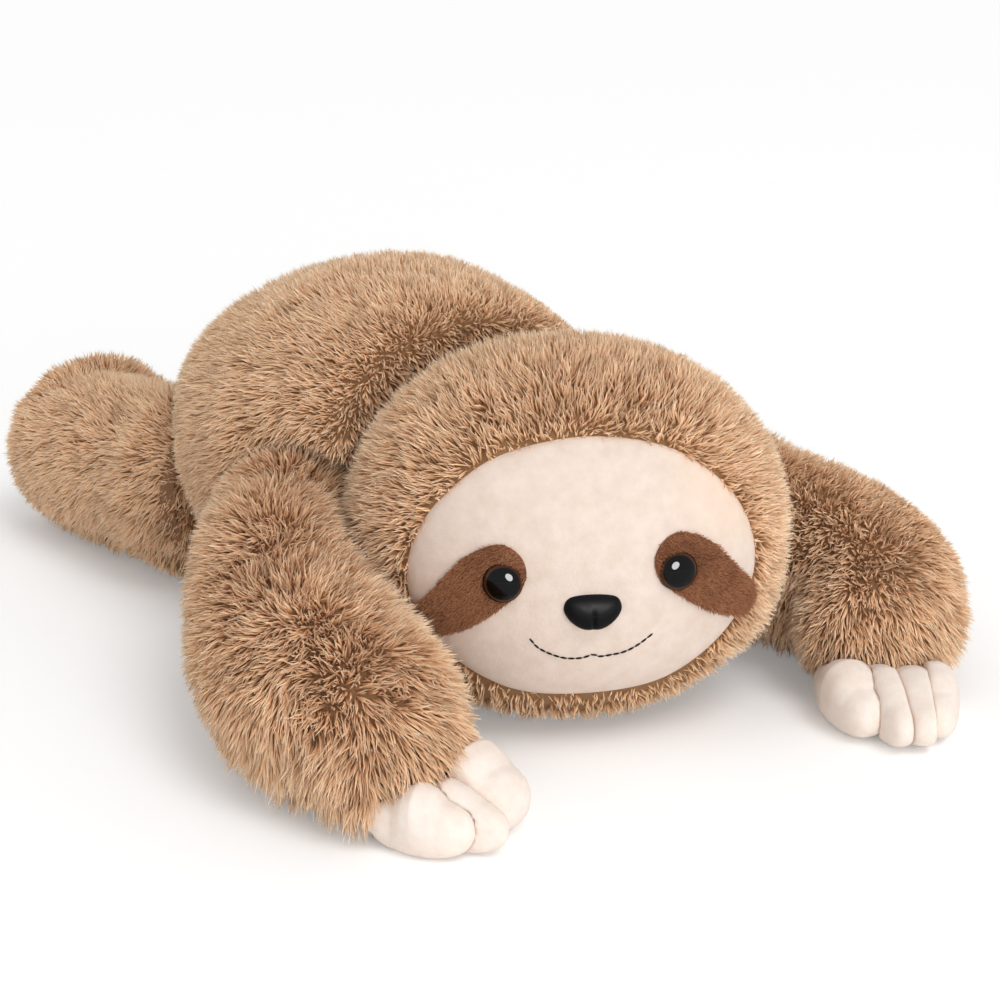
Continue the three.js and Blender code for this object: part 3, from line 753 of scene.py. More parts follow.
@dataclass(frozen=True)
class Stuffer:
    """Swells the padded forms with a cloth simulation, held back where bodies lie close."""

    pressure: float = 4.0
    frames: int = 20
    cap: float = 1.4 * MM
    free_gap: float = 9 * MM
    tight_gap: float = 3 * MM
    reach: float = 30 * MM
    face_gaps: tuple[float, float] = (-2 * MM, 12 * MM)

    CLOTH = {
        "quality": 4,
        "mass": 0.3,
        "tension_stiffness": 20,
        "compression_stiffness": 20,
        "bending_stiffness": 1.5,
        "use_pressure": True,
    }

    def swell(self, bodies: Sequence[StuffedBody]) -> None:
        """Simulate every form at once and keep a capped share of how far each point moved.

        Args:
            bodies: The forms, all made.
        """
        scene = bpy.context.scene
        gaps = {b.body: self.clearance(b, bodies) for b in bodies}
        rest = {b.body: places_of(b.piece.data) for b in bodies}
        for body in bodies:
            cloth = body.piece.modifiers.new("Stuffing", "CLOTH").settings
            for name, value in self.CLOTH.items():
                setattr(cloth, name, value)
            cloth.uniform_pressure_force = self.pressure
            cloth.effector_weights.gravity = 0
        for frame in range(1, self.frames + 1):
            scene.frame_set(frame)
        swollen = {b.body: places_of(baked(b.piece)) for b in bodies}
        scene.frame_set(1)
        for body in bodies:
            body.piece.modifiers.clear()
            moved = swollen[body.body] - rest[body.body]
            length = np.linalg.norm(moved, axis=1, keepdims=True)
            kept = np.minimum(length, self.cap) / np.maximum(length, NO_LENGTH)
            room = smooth_step(gaps[body.body], self.tight_gap, self.free_gap)[:, None]
            if body.body == "head":
                outside = -HEAD.face_depth(rest["head"])
                room = room * smooth_step(outside, *self.face_gaps)[:, None]
            set_places(body.piece.data, rest[body.body] + moved * kept * room)
            log.info("%s swelled by up to %.1f mm", body.body, length.max() / MM)

    def clearance(self, body: StuffedBody, bodies: Sequence[StuffedBody]) -> np.ndarray:
        """How far each point of a form lies from the nearest other form.

        Args:
            body: The form measured.
            bodies: All forms, this one among them.

        Returns:
            A distance for each vertex, in metres.
        """
        gaps = np.full(len(body.piece.data.vertices), self.reach)
        for tree in (tree_of(other.piece) for other in bodies if other is not body):
            for i, vert in enumerate(body.piece.data.vertices):
                *_, distance = tree.find_nearest(vert.co, self.reach)
                if distance is not None:
                    gaps[i] = min(gaps[i], distance)
        return gaps


# ---------------------------------------------------------------- pile


@dataclass(frozen=True)
class PileWeaver:
    """Grows tapered strands on a padded form with Geometry Nodes."""

    per_square_metre: float = 620_000
    width: float = 0.95 * MM
    tuft_size: float = 7.5 * MM
    tuft_lean: float = 0.5
    stray_lean: float = 0.2
    shortest: float = 0.72
    longest: float = 1.14
    bent_share: float = 0.55
    flow_lean: float = 0.35
    floor: float = 0.25 * MM
    lean_gain: float = 4.0
    # Gain and offset of the noise patches that paint shade between the tufts
    tuft_shade_patchiness: tuple[float, float] = (1.7, -0.6)
    quick_share: float = 0.3
    flow_size: float = 34 * MM
    shade_size: float = 9 * MM
    baldest: float = 1.2 * MM
    strand_swell: float = 1.5
    strand_bend: float = 1.5

    SIZES = {
        "Strands per square metre": "per_square_metre",
        "Strand width": "width",
        "Tuft size": "tuft_size",
        "Tuft lean": "tuft_lean",
        "Stray lean": "stray_lean",
        "Shortest": "shortest",
        "Longest": "longest",
        "Bent share": "bent_share",
        "Flow lean": "flow_lean",
        "Floor": "floor",
    }
    READ = ("cover", "band", "reach", "comb", "tint", "along")
    DRAWN = (
        ("wander", (-1, -1, -1), (1, 1, 1)),
        ("roll", 0, math.tau),
        ("length", 0, 1),
        ("width", 0.75, 1.25),
        ("tint", 0, 0.64),
        ("shape", 0, 1),
    )

    def weave(
        self, form: Object, name: str, finish: Material, seed: int, bands: int
    ) -> list[Object]:
        """Grow the pile of one form as plain meshes, each small enough to export whole.

        Args:
            form: The padded form, with its reach, comb and cover attributes.
            name: What the pieces' names start with.
            finish: The strands' material.
            seed: Fixes every random choice.
            bands: How many pieces the pile is split into.

        Returns:
            The pile's pieces.
        """
        self.split_bands(form, bands)
        tree = self.tree()
        values = {label: getattr(self, size) for label, size in self.SIZES.items()}
        values["Strands per square metre"] *= 1
        values |= {"Seed": seed, "Finish": finish}
        pieces = []
        for band in range(bands):
            host = stand(f"{name}_{band + 1}", form.data)
            run_tree(host, tree, {**values, "Band": float(band)}, smooth=False)
            clear_groom(host)
            pieces.append(host)
        bpy.data.node_groups.remove(tree)
        clear_groom(form)
        return pieces

    def split_bands(self, form: Object, bands: int) -> None:
        """Number the form's vertices in bands along the body that hold as many strands each.

        Args:
            form: The padded form.
            bands: How many bands there are.
        """
        mesh = form.data
        areas = np.empty(len(mesh.polygons), np.float32)
        mesh.polygons.foreach_get("area", areas)
        cover = np.empty(len(mesh.vertices), np.float32)
        mesh.attributes["cover"].data.foreach_get("value", cover)
        weight = areas * cover[np.array([p.vertices[0] for p in mesh.polygons])]
        along = rows_of(mesh.polygons, "center")[:, 1]
        order = np.argsort(along)
        total = np.cumsum(weight[order]) / weight.sum()
        rows = places_of(mesh)[:, 1]
        numbers = np.zeros(len(rows), np.float32)
        for band in range(1, bands):
            numbers += rows > along[order][np.searchsorted(total, band / bands)]
        set_attribute(mesh, "band", numbers)

    def tree(self) -> NodeTree:
        """The node tree that scatters, leans, bends and colours the strands.

        Returns:
            The tree, its inputs named as SIZES, Band, Seed and Finish.
        """
        kinds = {"Band": "Float", "Seed": "Int", "Finish": "Material"}
        kinds = {**dict.fromkeys(self.SIZES, "Float"), **kinds}
        tree, add, given = start_tree("pile_strands", kinds)
        read = {}
        for name in self.READ:
            kind = {"data_type": "FLOAT_VECTOR" if name == "comb" else "FLOAT"}
            read[name] = add("GeometryNodeInputNamedAttribute", kind, {"Name": name})
        drawn = {}
        for salt, (name, low, high) in enumerate(self.DRAWN, start=1):
            seed = add(MATHS, ADD, {0: given["Seed"], 1: salt})
            kind, at, gives = ("FLOAT_VECTOR", 0, 0) if name == "wander" else ("FLOAT", 2, 1)
            ends = {at: low, at + 1: high, "Seed": seed}
            drawn[name] = add("FunctionNodeRandomValue", {"data_type": kind}, ends, gives)
        spot = add("GeometryNodeInputPosition")

        # Scatter the roots, and keep those of this band where the pile has some length
        density = add(MATHS, MULTIPLY, {0: given["Strands per square metre"], 1: read["cover"]})
        ground = {"Mesh": given["Geometry"], "Density": density, "Seed": given["Seed"]}
        roots = add(
            "GeometryNodeDistributePointsOnFaces", {"distribute_method": "RANDOM"}, ground, "Points"
        )
        same = add(MATHS, {"operation": "COMPARE"}, {0: read["band"], 1: given["Band"], 2: 0.5})
        other = add(MATHS, SUBTRACT, {0: 1.0, 1: same})
        bald = add(MATHS, LESS_THAN, {0: read["reach"], 1: self.baldest})
        gone = {"Geometry": roots, "Selection": add(MATHS, MAXIMUM, {0: other, 1: bald})}
        keep = add("GeometryNodeDeleteGeometry", {"domain": "POINT"}, gone)

        # Lean each strand: with its tuft, with the broad flow of the pile, and a little by itself
        tuft_scale = add(MATHS, {"operation": "DIVIDE"}, {0: 1.0, 1: given["Tuft size"]})
        tufts = {"Detail": 1.5, "Roughness": 0.6, "Scale": tuft_scale}
        flows = {"Detail": 1.0, "Scale": 1 / self.flow_size}
        way = add(VECTORS, ADD, {0: roots.node.outputs["Normal"], 1: read["comb"]})
        for waves, lean in ((tufts, "Tuft lean"), (flows, "Flow lean")):
            colour = add(NOISE, {}, {"Vector": spot, **waves}, "Color")
            centred = add(VECTORS, SUBTRACT, {0: colour, 1: (0.5, 0.5, 0.5)})
            amount = add(MATHS, MULTIPLY, {0: given[lean], 1: self.lean_gain})
            scaled = add(VECTORS, SCALE, {0: centred, "Scale": amount})
            way = add(VECTORS, ADD, {0: way, 1: scaled})
        stray = add(VECTORS, SCALE, {0: drawn["wander"], "Scale": given["Stray lean"]})
        way = add(VECTORS, ADD, {0: way, 1: stray})
        aim = add("FunctionNodeAlignRotationToVector", {"axis": "Z"}, {"Vector": way})
        spin = {"Axis": (0.0, 0.0, 1.0), "Angle": drawn["roll"]}
        turns = {"Rotation": aim, "Rotate By": add("FunctionNodeAxisAngleToRotation", {}, spin)}
        turn = add("FunctionNodeRotateRotation", {"rotation_space": "LOCAL"}, turns)

        # Size each strand and plant one of two shapes: bent, or straight with fewer faces
        spread = {"To Min": given["Shortest"], "To Max": given["Longest"]}
        share = add(SPAN, {}, {"Value": drawn["length"], **spread})
        long = add(MATHS, MULTIPLY, {0: read["reach"], 1: share})
        wide = add(MATHS, MULTIPLY, {0: given["Strand width"], 1: drawn["width"]})
        shapes = add("GeometryNodeJoinGeometry")
        for segments in (2, 1):
            shape = add("GeometryNodeGeometryToInstance", {}, {0: self.strand(add, segments)})
            fill(shapes.node, {0: shape})
        planting = {
            "Pick Instance": True,
            "Points": keep,
            "Instance": shapes,
            "Instance Index": add(MATHS, LESS_THAN, {0: drawn["shape"], 1: given["Bent share"]}),
            "Rotation": turn,
            "Scale": add(JOINED, {}, {"X": wide, "Y": wide, "Z": long}),
        }
        plant = add("GeometryNodeInstanceOnPoints", {}, planting)

        # Tint each strand: soft noise patches darken strands as painted shade between the tufts,
        # and a random share varies its own tone
        tuft_shade_clouds = add(NOISE, {}, {"Scale": 1 / self.shade_size, "Detail": 3.0, "Vector": spot})
        gain, base = self.tuft_shade_patchiness
        tuft_shaded_tint = add(MATHS, MULTIPLY_ADD, {0: tuft_shade_clouds, 1: gain, 2: base})
        tint = add(MATHS, ADD, {0: tuft_shaded_tint, 1: drawn["tint"]})
        held = add("ShaderNodeClamp", {}, {"Min": 0.02, "Max": 0.98, "Value": tint})
        note = {"Name": "tint", "Geometry": plant, "Value": held}
        tinted = add(STORED, {"data_type": "FLOAT", "domain": "INSTANCE"}, note)
        real = add("GeometryNodeRealizeInstances", {}, {"Geometry": tinted})

        # Lift what would pass the floor, and write the tint and the place along as a UV map
        height = add(SPLIT, {}, {0: spot}, "Z")
        under = add(MATHS, SUBTRACT, {0: given["Floor"], 1: height})
        rise = add(JOINED, {}, {"Z": add(MATHS, MAXIMUM, {0: under, 1: 0.0})})
        raised = add(PLACED, {}, {"Geometry": real, "Offset": rise})
        pair = add(JOINED, {}, {"X": read["tint"], "Y": read["along"]})
        note = {"Name": BAKE_MAP, "Geometry": raised, "Value": pair}
        mapped = add(STORED, {"data_type": "FLOAT2", "domain": "CORNER"}, note)
        end_tree(add, mapped, given["Finish"])
        return tree

    def strand(self, add: Callable, segments: int) -> NodeSocket:
        """One strand, a metre wide and a metre long: three sides, a bend and a point.

        Args:
            add: Adds a node to the tree that it is made in.
            segments: How many lengths it bends in.

        Returns:
            Its geometry.
        """
        sizes = {
            "Vertices": 3,
            "Side Segments": segments,
            "Fill Segments": 1,
            "Radius Top": 0.0,
            "Radius Bottom": 0.5,
            "Depth": 1.0,
        }
        cone = add("GeometryNodeMeshCone", {"fill_type": "NGON"}, sizes, "Mesh")
        split = add(SPLIT, {}, {0: add("GeometryNodeInputPosition")}).node.outputs
        along = split["Z"]
        note = {"Name": "along", "Geometry": cone, "Value": along}
        marked = add(STORED, {"data_type": "FLOAT", "domain": "POINT"}, note)
        swell = add(MATHS, MULTIPLY_ADD, {0: along, 1: self.strand_swell, 2: 1.0})
        wide, deep = (add(MATHS, MULTIPLY, {0: split[axis], 1: swell}) for axis in "XY")
        square = add(MATHS, MULTIPLY, {0: along, 1: along})
        bend = add(MATHS, MULTIPLY_ADD, {0: square, 1: self.strand_bend, 2: wide})
        place = add(JOINED, {}, {"X": bend, "Y": deep, "Z": along})
        return add(PLACED, {}, {"Geometry": marked, "Position": place})


def clear_groom(piece: Object) -> None:
    """Drop the attributes that the pile is grown by.

    Args:
        piece: A padded form or a pile.
    """
    for name in PileWeaver.READ:
        if name in piece.data.attributes:
            piece.data.attributes.remove(piece.data.attributes[name])


@dataclass(frozen=True)
class Trim:
    """A rounded patch where one body's pile is clipped shorter, or left longer."""

    body: str
    middle: Place
    size: float
    share: float


TRIMS = (
    Trim("torso", (50 * MM, -62 * MM, 120 * MM), 55 * MM, 0.4),
    Trim("head", (60 * MM, -150 * MM, 145 * MM), 60 * MM, 0.68),
    Trim("arm_left", (175 * MM, -190 * MM, 85 * MM), 62 * MM, 0.36),
    Trim("arm_left", (150 * MM, -240 * MM, 12 * MM), 32 * MM, 1.7),
    Trim("arm_right", (-150 * MM, -218 * MM, 12 * MM), 45 * MM, 1.7),
)


@dataclass
class Groomer:
    """Says how long, how dense and which way the pile stands on each point of a form."""

    length: float = 10.2 * MM
    underside: float = 0.25
    underside_tilt: float = -0.55
    pressed_share: float = 0.35
    pressed_tilt: float = -0.5
    pressed_heights: tuple[float, float] = (0.5 * MM, 9 * MM)
    comb_way: Place = (0.0, 0.45, -0.55)
    arm_way: Place = (0.0, -0.45, -0.75)
    into_neighbour: float = 6.0 * MM
    hidden_gap: float = 3.0 * MM
    face_lap: float = 1.5 * MM
    rim_share: float = 0.6
    rim_gain: float = 0.24
    rim_width: float = 14 * MM
    chin_cut: float = 0.4
    chin_drops: tuple[float, float] = (35 * MM, 62 * MM)
    head_lean: float = 0.3
    backward_lean: float = 0.5
    fringe_turn: float = 0.5
    fringe_width: float = 6 * MM
    head_sag: Place = (0.0, 0.0, -0.1)
    broadening: int = 45
    sharpest: float = 0.6

    def groom(self, body: StuffedBody, obstacles: Sequence[tuple[str, BVHTree]]) -> None:
        """Store a form's reach, comb and cover attributes.

        Args:
            body: The form.
            obstacles: Bodies and their surfaces, which shorten the pile that points at them.
        """
        mesh = body.piece.data
        rows, normals = places_of(mesh), rows_of(mesh.vertex_normals, "vector")
        gap = np.full(len(rows), self.length)
        for tree in (tree for name, tree in obstacles if name != body.body):
            for i, (place, normal) in enumerate(zip(rows, normals)):
                *_, distance = tree.ray_cast(Vector(place), Vector(normal), self.length)
                if distance is not None:
                    gap[i] = min(gap[i], distance)
        reach = np.minimum(self.length, gap + self.into_neighbour)
        bare = gap < self.hidden_gap
        low = smooth_step(rows[:, 2], *self.pressed_heights)
        under = np.where(normals[:, 2] < self.pressed_tilt, low, 1.0)
        reach *= (self.pressed_share + (1 - self.pressed_share) * under) * body.pile
        for trim in TRIMS:
            if trim.body == body.body:
                away = np.linalg.norm(rows - np.array(trim.middle), axis=1)
                reach *= 1 + (trim.share - 1) * np.exp(-((away / trim.size) ** 2))
        cover = np.where(normals[:, 2] < self.underside_tilt, self.underside, 1.0)
        way = self.arm_way if body.body.startswith("arm") else self.comb_way
        comb = np.tile(np.array(way), (len(rows), 1))
        comb -= normals * np.sum(normals * comb, axis=1, keepdims=True)
        bend = self.broadened(mesh, normals) - normals
        comb += bend
        sharp = np.minimum(np.linalg.norm(bend, axis=1) / self.sharpest, 1)
        reach *= 1 - body.taper * sharp
        if body.body == "head":
            depth = HEAD.face_depth(rows)
            bare |= depth > self.face_lap
            reach *= self.rim_share + self.rim_gain * smooth_step(-depth, 0, self.rim_width)
            own = HEAD.local(rows)
            reach *= 1 - self.chin_cut * smooth_step(-own[:, 2], *self.chin_drops)
            own /= np.linalg.norm(own, axis=1, keepdims=True)
            own[:, 1] = self.backward_lean
            turn = np.array(HEAD.placement.to_3x3())
            fringe = smooth_step(depth, -self.fringe_width, self.face_lap)
            lean = (self.head_lean - self.fringe_turn * fringe)[:, None]
            comb = (own @ turn.T) * lean + np.array(self.head_sag)
        reach[bare] = 0
        cover[bare] = 0
        for name, values in (("reach", reach), ("cover", cover), ("comb", comb)):
            set_attribute(mesh, name, values)

    def broadened(self, mesh: Mesh, normals: np.ndarray) -> np.ndarray:
        """Average each normal with those round it, so that the pile doesn't part at a bend.

        Args:
            mesh: The form's mesh.
            normals: Its vertex normals.

        Returns:
            Unit rows that follow the broad form.
        """
        ends = np.empty(len(mesh.edges) * 2, np.int32)
        mesh.edges.foreach_get("vertices", ends)
        first, second = ends.reshape(-1, 2).T
        for _ in range(self.broadening):
            spread = normals.copy()
            np.add.at(spread, first, normals[second])
            np.add.at(spread, second, normals[first])
            normals = spread / np.linalg.norm(spread, axis=1, keepdims=True)
        return normals


# ---------------------------------------------------------------- outlines

# Face outline as shares of its half width and half height, anticlockwise from its right side
FACE_OUTLINE = (
    (1, -0.08), (0.93, 0.32), (0.74, 0.65), (0.44, 0.9), (0, 1),
    (-0.44, 0.9), (-0.74, 0.65), (-0.93, 0.32), (-1, -0.08), (-0.9, -0.47),
    (-0.64, -0.81), (-0.3, -1), (0.3, -1), (0.64, -0.81), (0.9, -0.47),
)  # fmt: skip

# Eye patch outline as shares of the face's half sizes, for the left eye
PATCH_OUTLINE = (
    (0.36, 0), (0.38, 0.18), (0.5, 0.27), (0.68, 0.16), (0.85, -0.1),
    (0.955, -0.29), (0.9, -0.46), (0.7, -0.39), (0.48, -0.19),
)  # fmt: skip

# Nose outline as shares of its half sizes
NOSE_OUTLINE = (
    (1, 0.25), (0.78, 0.85), (0, 1), (-0.78, 0.85), (-1, 0.25),
    (-0.82, -0.4), (-0.42, -0.9), (0, -1), (0.42, -0.9), (0.82, -0.4),
)  # fmt: skip

# Mouth line as shares of its half width and depth
MOUTH_LINE = (
    (-1, 0.95), (-0.9, 0.62), (-0.7, 0.28), (-0.46, 0.03), (-0.2, -0.02), (0, 0.1),
    (0.12, 0), (0.3, 0.03), (0.53, 0.13), (0.75, 0.4), (0.96, 0.8),
)  # fmt: skip


def inside_distance(points: np.ndarray, outline: np.ndarray) -> np.ndarray:
    """How deep points lie inside a closed outline, negative outside it.

    Args:
        points: Flat points, one to a row.
        outline: The outline's corners, close together.

    Returns:
        A distance for each point.
    """
    gaps = np.full(len(points), np.inf)
    inside = np.zeros(len(points), bool)
    for (ax, ay), (bx, by) in zip(outline, np.roll(outline, -1, axis=0)):
        gaps = np.minimum(gaps, np.hypot(points[:, 0] - ax, points[:, 1] - ay))
        crosses = (points[:, 1] < ay) != (points[:, 1] < by)
        slope = (bx - ax) / (by - ay) if by != ay else 0
        inside ^= crosses & (points[:, 0] < ax + (points[:, 1] - ay) * slope)
    return np.where(inside, gaps, -gaps)


# ---------------------------------------------------------------- head and face


@dataclass(frozen=True)
class HeadShape:
    """The head's rounded form, in its own frame with the face towards -Y."""

    half_width: float = 88.5 * MM
    half_height: float = 78 * MM
    front_depth: float = 74 * MM
    fullness: float = 2.15
    centre: Place = (4.5 * MM, -150 * MM, 77.5 * MM)
    yaw: float = -26.4
    pitch: float = -5
    roll: float = -2
    face_half_width: float = 72 * MM
    face_half_height: float = 54 * MM
    face_drop: float = 3 * MM

    @property
    def placement(self) -> Matrix:
        """The head's turn and place in the sloth's frame.

        Returns:
            The matrix from the head's frame to the sloth's.
        """
        turns = ((self.yaw, "Z"), (self.pitch, "X"), (self.roll, "Y"))
        yaw, pitch, roll = (Matrix.Rotation(math.radians(a), 4, axis) for a, axis in turns)
        return Matrix.Translation(self.centre) @ yaw @ pitch @ roll

    def surface(self, x: float, z: float, grow: float = 0.0) -> Vector:
        """A point of the rounded form, in its own frame.

        Args:
            x: Place across.
            z: Place up.
            grow: How far outside the form the point lies.

        Returns:
            The point.
        """
        across = abs(x / (self.half_width + grow)) ** self.fullness
        rise = abs(z / (self.half_height + grow)) ** self.fullness
        left = max(0.0, 1 - across - rise)
        return Vector((x, -(self.front_depth + grow) * left ** (1 / self.fullness), z))

    def outward(self, x: float, z: float) -> Vector:
        """The outward direction at a point of the front, in the sloth's frame.

        Args:
            x: Place across, in the head's frame.
            z: Place up, in the head's frame.

        Returns:
            A unit vector.
        """
        point = self.surface(x, z)
        halves = (self.half_width, self.front_depth, self.half_height)
        parts = [
            math.copysign(abs(value / half) ** (self.fullness - 1), value) / half
            for value, half in zip(point, halves)
        ]
        return (self.placement.to_3x3() @ Vector(parts)).normalized()

    def placed(self, x: float, z: float, lift: float) -> Vector:
        """Where a point of the front lies in the sloth's frame when it stands off by its lift."""
        return self.placement @ self.surface(x, z) + self.outward(x, z) * lift

    def outline(
        self, shares: Sequence[tuple[float, float]], mirror: int = 1, steps: int = 8
    ) -> np.ndarray:
        """A smooth closed outline on the face from its shares.

        Args:
            shares: Corners as shares of the face's half sizes.
            mirror: One, or minus one for the other side.
            steps: Places for each corner.

        Returns:
            Places across and up, in the head's frame.
        """
        rows = np.array(shares, float) * (self.face_half_width, self.face_half_height)
        rows[:, 0] *= mirror
        rows[:, 1] -= self.face_drop
        return closed_curve(rows, steps)

    def local(self, rows: np.ndarray) -> np.ndarray:
        """Places in the head's own frame from places in the sloth's."""
        back = np.array(self.placement.inverted())
        return rows @ back[:3, :3].T + back[:3, 3]

    def face_depth(self, rows: np.ndarray) -> np.ndarray:
        """How deep points of the front lie inside the face's outline, negative outside it.

        Args:
            rows: Points in the sloth's frame.

        Returns:
            A distance for each point.
        """
        own = self.local(rows)
        depth = inside_distance(own[:, [0, 2]], self.outline(FACE_OUTLINE))
        return np.where(own[:, 1] < 0, depth, -self.half_width)


HEAD = HeadShape()

# How a shell's rings crowd towards its outline, as a power
RING_SPREAD = 0.85


def disc_shell(
    name: str,
    outline: np.ndarray,
    rings: int,
    front: Callable[[float, float, float], Vector],
    back: Callable[[float, float, float], Vector],
) -> Object:
    """Make a closed shell over an outline from its front and its back.

    Args:
        name: The piece's name.
        outline: Places across and up, round the outline.
        rings: How many rings lie between the middle and the outline.
        front: Gives the front's place from a place across and up and its share of the way out.
        back: The same for the back.

    Returns:
        The linked piece.
    """
    middle = outline.mean(axis=0)
    count = len(outline)
    points: list[Vector] = []
    faces: list[tuple[int, ...]] = []
    for side, place in enumerate((front, back)):
        start = len(points)
        points.append(place(*middle, 0.0))
        for ring in range(1, rings + 1):
            share = math.sin(0.5 * math.pi * ring / rings) ** RING_SPREAD
            for x, z in middle + (outline - middle) * share:
                points.append(place(x, z, share))
        for j in range(count):
            n = (j + 1) % count
            faces.append((start, start + 1 + j, start + 1 + n))
            for ring in range(rings - 1):
                a = start + 1 + ring * count
                faces.append((a + j, a + count + j, a + count + n, a + n))
    last = 1 + (rings - 1) * count
    other = last + 1 + rings * count
    for j in range(count):
        n = (j + 1) % count
        faces.append((last + j, other + j, other + n, last + n))
    piece = mesh_object(name, points, faces)
    face_outwards(piece)
    piece.data.shade_smooth()
    return piece


@dataclass
class Face:
    """The velour face with its eye patches, safety eyes, moulded nose and stitched mouth."""

    panel_lift: float = 1.3 * MM
    panel_tuck: float = 2.2 * MM
    panel_back: float = 3.4 * MM
    panel_rings: int = 44
    panel_steps: int = 12
    panel_edge: int = 26
    patch_lift: float = 2.3 * MM
    patch_crown: float = 1.1 * MM
    patch_rings: int = 18
    patch_steps: int = 10
    patch_edge: int = 6
    patch_sink: float = 0.2 * MM
    nap_length: float = 2.0 * MM
    nap_way: Place = (0.9, 0.0, -0.6)
    nap_edge: float = 0.3 * MM
    nap_under_eye: float = 1.2 * MM
    nap_seed: int = 40
    eye_radius: float = 8.2 * MM
    eye_depth: float = 5.4 * MM
    eye_sides: int = 64
    eye_rings: int = 18
    eye_spread: float = 34.6 * MM
    eye_drop: float = 3.5 * MM
    eye_lift: float = 1.5 * MM
    eye_pull: float = 1.2 * MM
    eye_hollow: float = 13 * MM
    iris_shift: tuple[float, float] = (0.9 * MM, 0.5 * MM)
    nose_half_width: float = 11.6 * MM
    nose_half_height: float = 7.4 * MM
    nose_depth: float = 6 * MM
    nose_steps: int = 10
    nose_rings: int = 22
    nose_drop: float = 17.2 * MM
    nose_lift: float = 0.8 * MM
    nose_pull: float = 0.9 * MM
    nose_hollow: float = 14 * MM
    groove_depth: float = 1.1 * MM
    groove_width: float = 0.75 * MM
    groove_top: float = 1.5 * MM
    groove_fade: float = 1.2 * MM
    skirt: float = 2 * MM
    mouth_half_width: float = 24 * MM
    mouth_depth: float = 9 * MM
    mouth_drop: float = 37 * MM
    mouth_lift: float = 0.15 * MM
    mouth_steps: int = 12
    stitches: Place = (3.0 * MM, 3.1 * MM, 0.45 * MM)
    fuzz: PileWeaver = field(
        default_factory=lambda: PileWeaver(
            per_square_metre=3_600_000,
            width=0.34 * MM,
            tuft_size=3.2 * MM,
            stray_lean=0.35,
            shortest=0.7,
            longest=1.2,
        )
    )

    def dimple(self, x: float, z: float) -> float:
        """How far the cloth is pulled in by the eyes and the nose at a place.

        Args:
            x: Place across, in the head's frame.
            z: Place up, in the head's frame.

        Returns:
            A depth in metres.
        """
        pull = 0.0
        for mirror in (1, -1):
            away = math.hypot(x - mirror * self.eye_spread, z + self.eye_drop)
            pull += self.eye_pull * math.exp(-((away / self.eye_hollow) ** 2))
        away = math.hypot(x, z + self.nose_drop)
        return pull + self.nose_pull * math.exp(-((away / self.nose_hollow) ** 2))

    def build(self) -> None:
        """Build and dress every piece of the face, all riding on the head."""
        self.panel()
        for side in Side:
            self.patch(side)
            self.eye(side)
        self.nose()
        self.mouth()

    def panel(self) -> None:
        """The cream face panel, crowned in its middle and tucked under the pile at its edge."""

        def front(x: float, z: float, share: float) -> Vector:
            """The cloth's outside."""
            lift = self.panel_lift - self.panel_tuck * share**self.panel_edge - self.dimple(x, z)
            return HEAD.placed(x, z, lift)

        def back(x: float, z: float, share: float) -> Vector:
            """The cloth's inside."""
            return HEAD.placed(x, z, -self.panel_back)

        outline = HEAD.outline(FACE_OUTLINE, steps=self.panel_steps)
        piece = disc_shell("face_panel_cloth", outline, self.panel_rings, front, back)
        finish_piece(piece, FACE_CLOTH.material(), "head", "face_velour", "face_panel")

    def patch(self, side: Side) -> None:
        """One brown eye patch, its edge turned under, with its short pile.

        Args:
            side: Which eye.
        """

        def front(x: float, z: float, share: float) -> Vector:
            """The patch's outside."""
            crown = self.patch_crown * (1 - share**self.patch_edge)
            return HEAD.placed(x, z, self.patch_lift + crown - self.dimple(x, z))

        def back(x: float, z: float, share: float) -> Vector:
            """The patch's inside."""
            return HEAD.placed(x, z, self.panel_lift - self.dimple(x, z) - self.patch_sink)

        outline = HEAD.outline(PATCH_OUTLINE, side.value, self.patch_steps)
        name = f"eye_patch_cloth_{side.word}"
        piece = disc_shell(name, outline, self.patch_rings, front, back)
        dress(piece, PATCH_CLOTH.material())
        rows = places_of(piece.data)
        own = HEAD.local(rows)
        lifted = [
            (Vector(r) - HEAD.placed(o[0], o[2], 0)).dot(HEAD.outward(o[0], o[2]))
            for r, o in zip(rows, own)
        ]
        pulls = np.array([self.dimple(o[0], o[2]) for o in own])
        outer = np.array(lifted) + pulls > self.patch_lift - self.nap_edge
        eye_gap = np.hypot(own[:, 0] - side.value * self.eye_spread, own[:, 2] + self.eye_drop)
        bare = ~outer | (eye_gap < self.eye_radius - self.nap_under_eye)
        across, back_way, rise = self.nap_way
        way = HEAD.placement.to_3x3() @ Vector((side.value * across, back_way, rise))
        set_attribute(piece.data, "reach", np.where(bare, 0, self.nap_length))
        set_attribute(piece.data, "cover", np.where(bare, 0.0, 1.0))
        set_attribute(piece.data, "comb", np.tile(np.array(way), (len(rows), 1)))
        nap, seed = NAP.material(), self.nap_seed + side.value
        pile = self.fuzz.weave(piece, f"eye_patch_nap_{side.word}", nap, seed, 1)
        finish_piece(piece, None, "head", "patch_velour", f"eye_patch_{side.word}")
        for part in pile:
            finish_piece(part, None, "head", "patch_velour")

    def eye(self, side: Side) -> None:
        """One safety eye: a polished dome over its patch.

        Args:
            side: Which eye.
        """
        x, z = side.value * self.eye_spread, -self.eye_drop
        outward = HEAD.outward(x, z)
        seat = HEAD.placed(x, z, self.eye_lift)
        radius, turns = self.eye_radius, ring_turns(self.eye_sides)
        rim = [(radius * math.cos(a), radius * math.sin(a)) for a in turns]
        rows, faces = dome_rows(rim, self.eye_depth, self.eye_rings, self.skirt)
        piece = mesh_object(f"eye_dome_{side.word}", placed_rows(rows, seat, outward), faces)
        face_outwards(piece)
        across = outward.cross(Vector((0, 0, 1))).normalized()
        aside, rise = self.iris_shift
        middle = seat + across * side.value * aside + Vector((0, 0, 1)) * rise
        name = f"polished_acrylic_eye_{side.word}"
        finish = SafetyEye(name, tuple(middle), tuple(outward), radius).material()
        finish_piece(piece, finish, "head", "eye_gloss", f"eye_{side.word}")

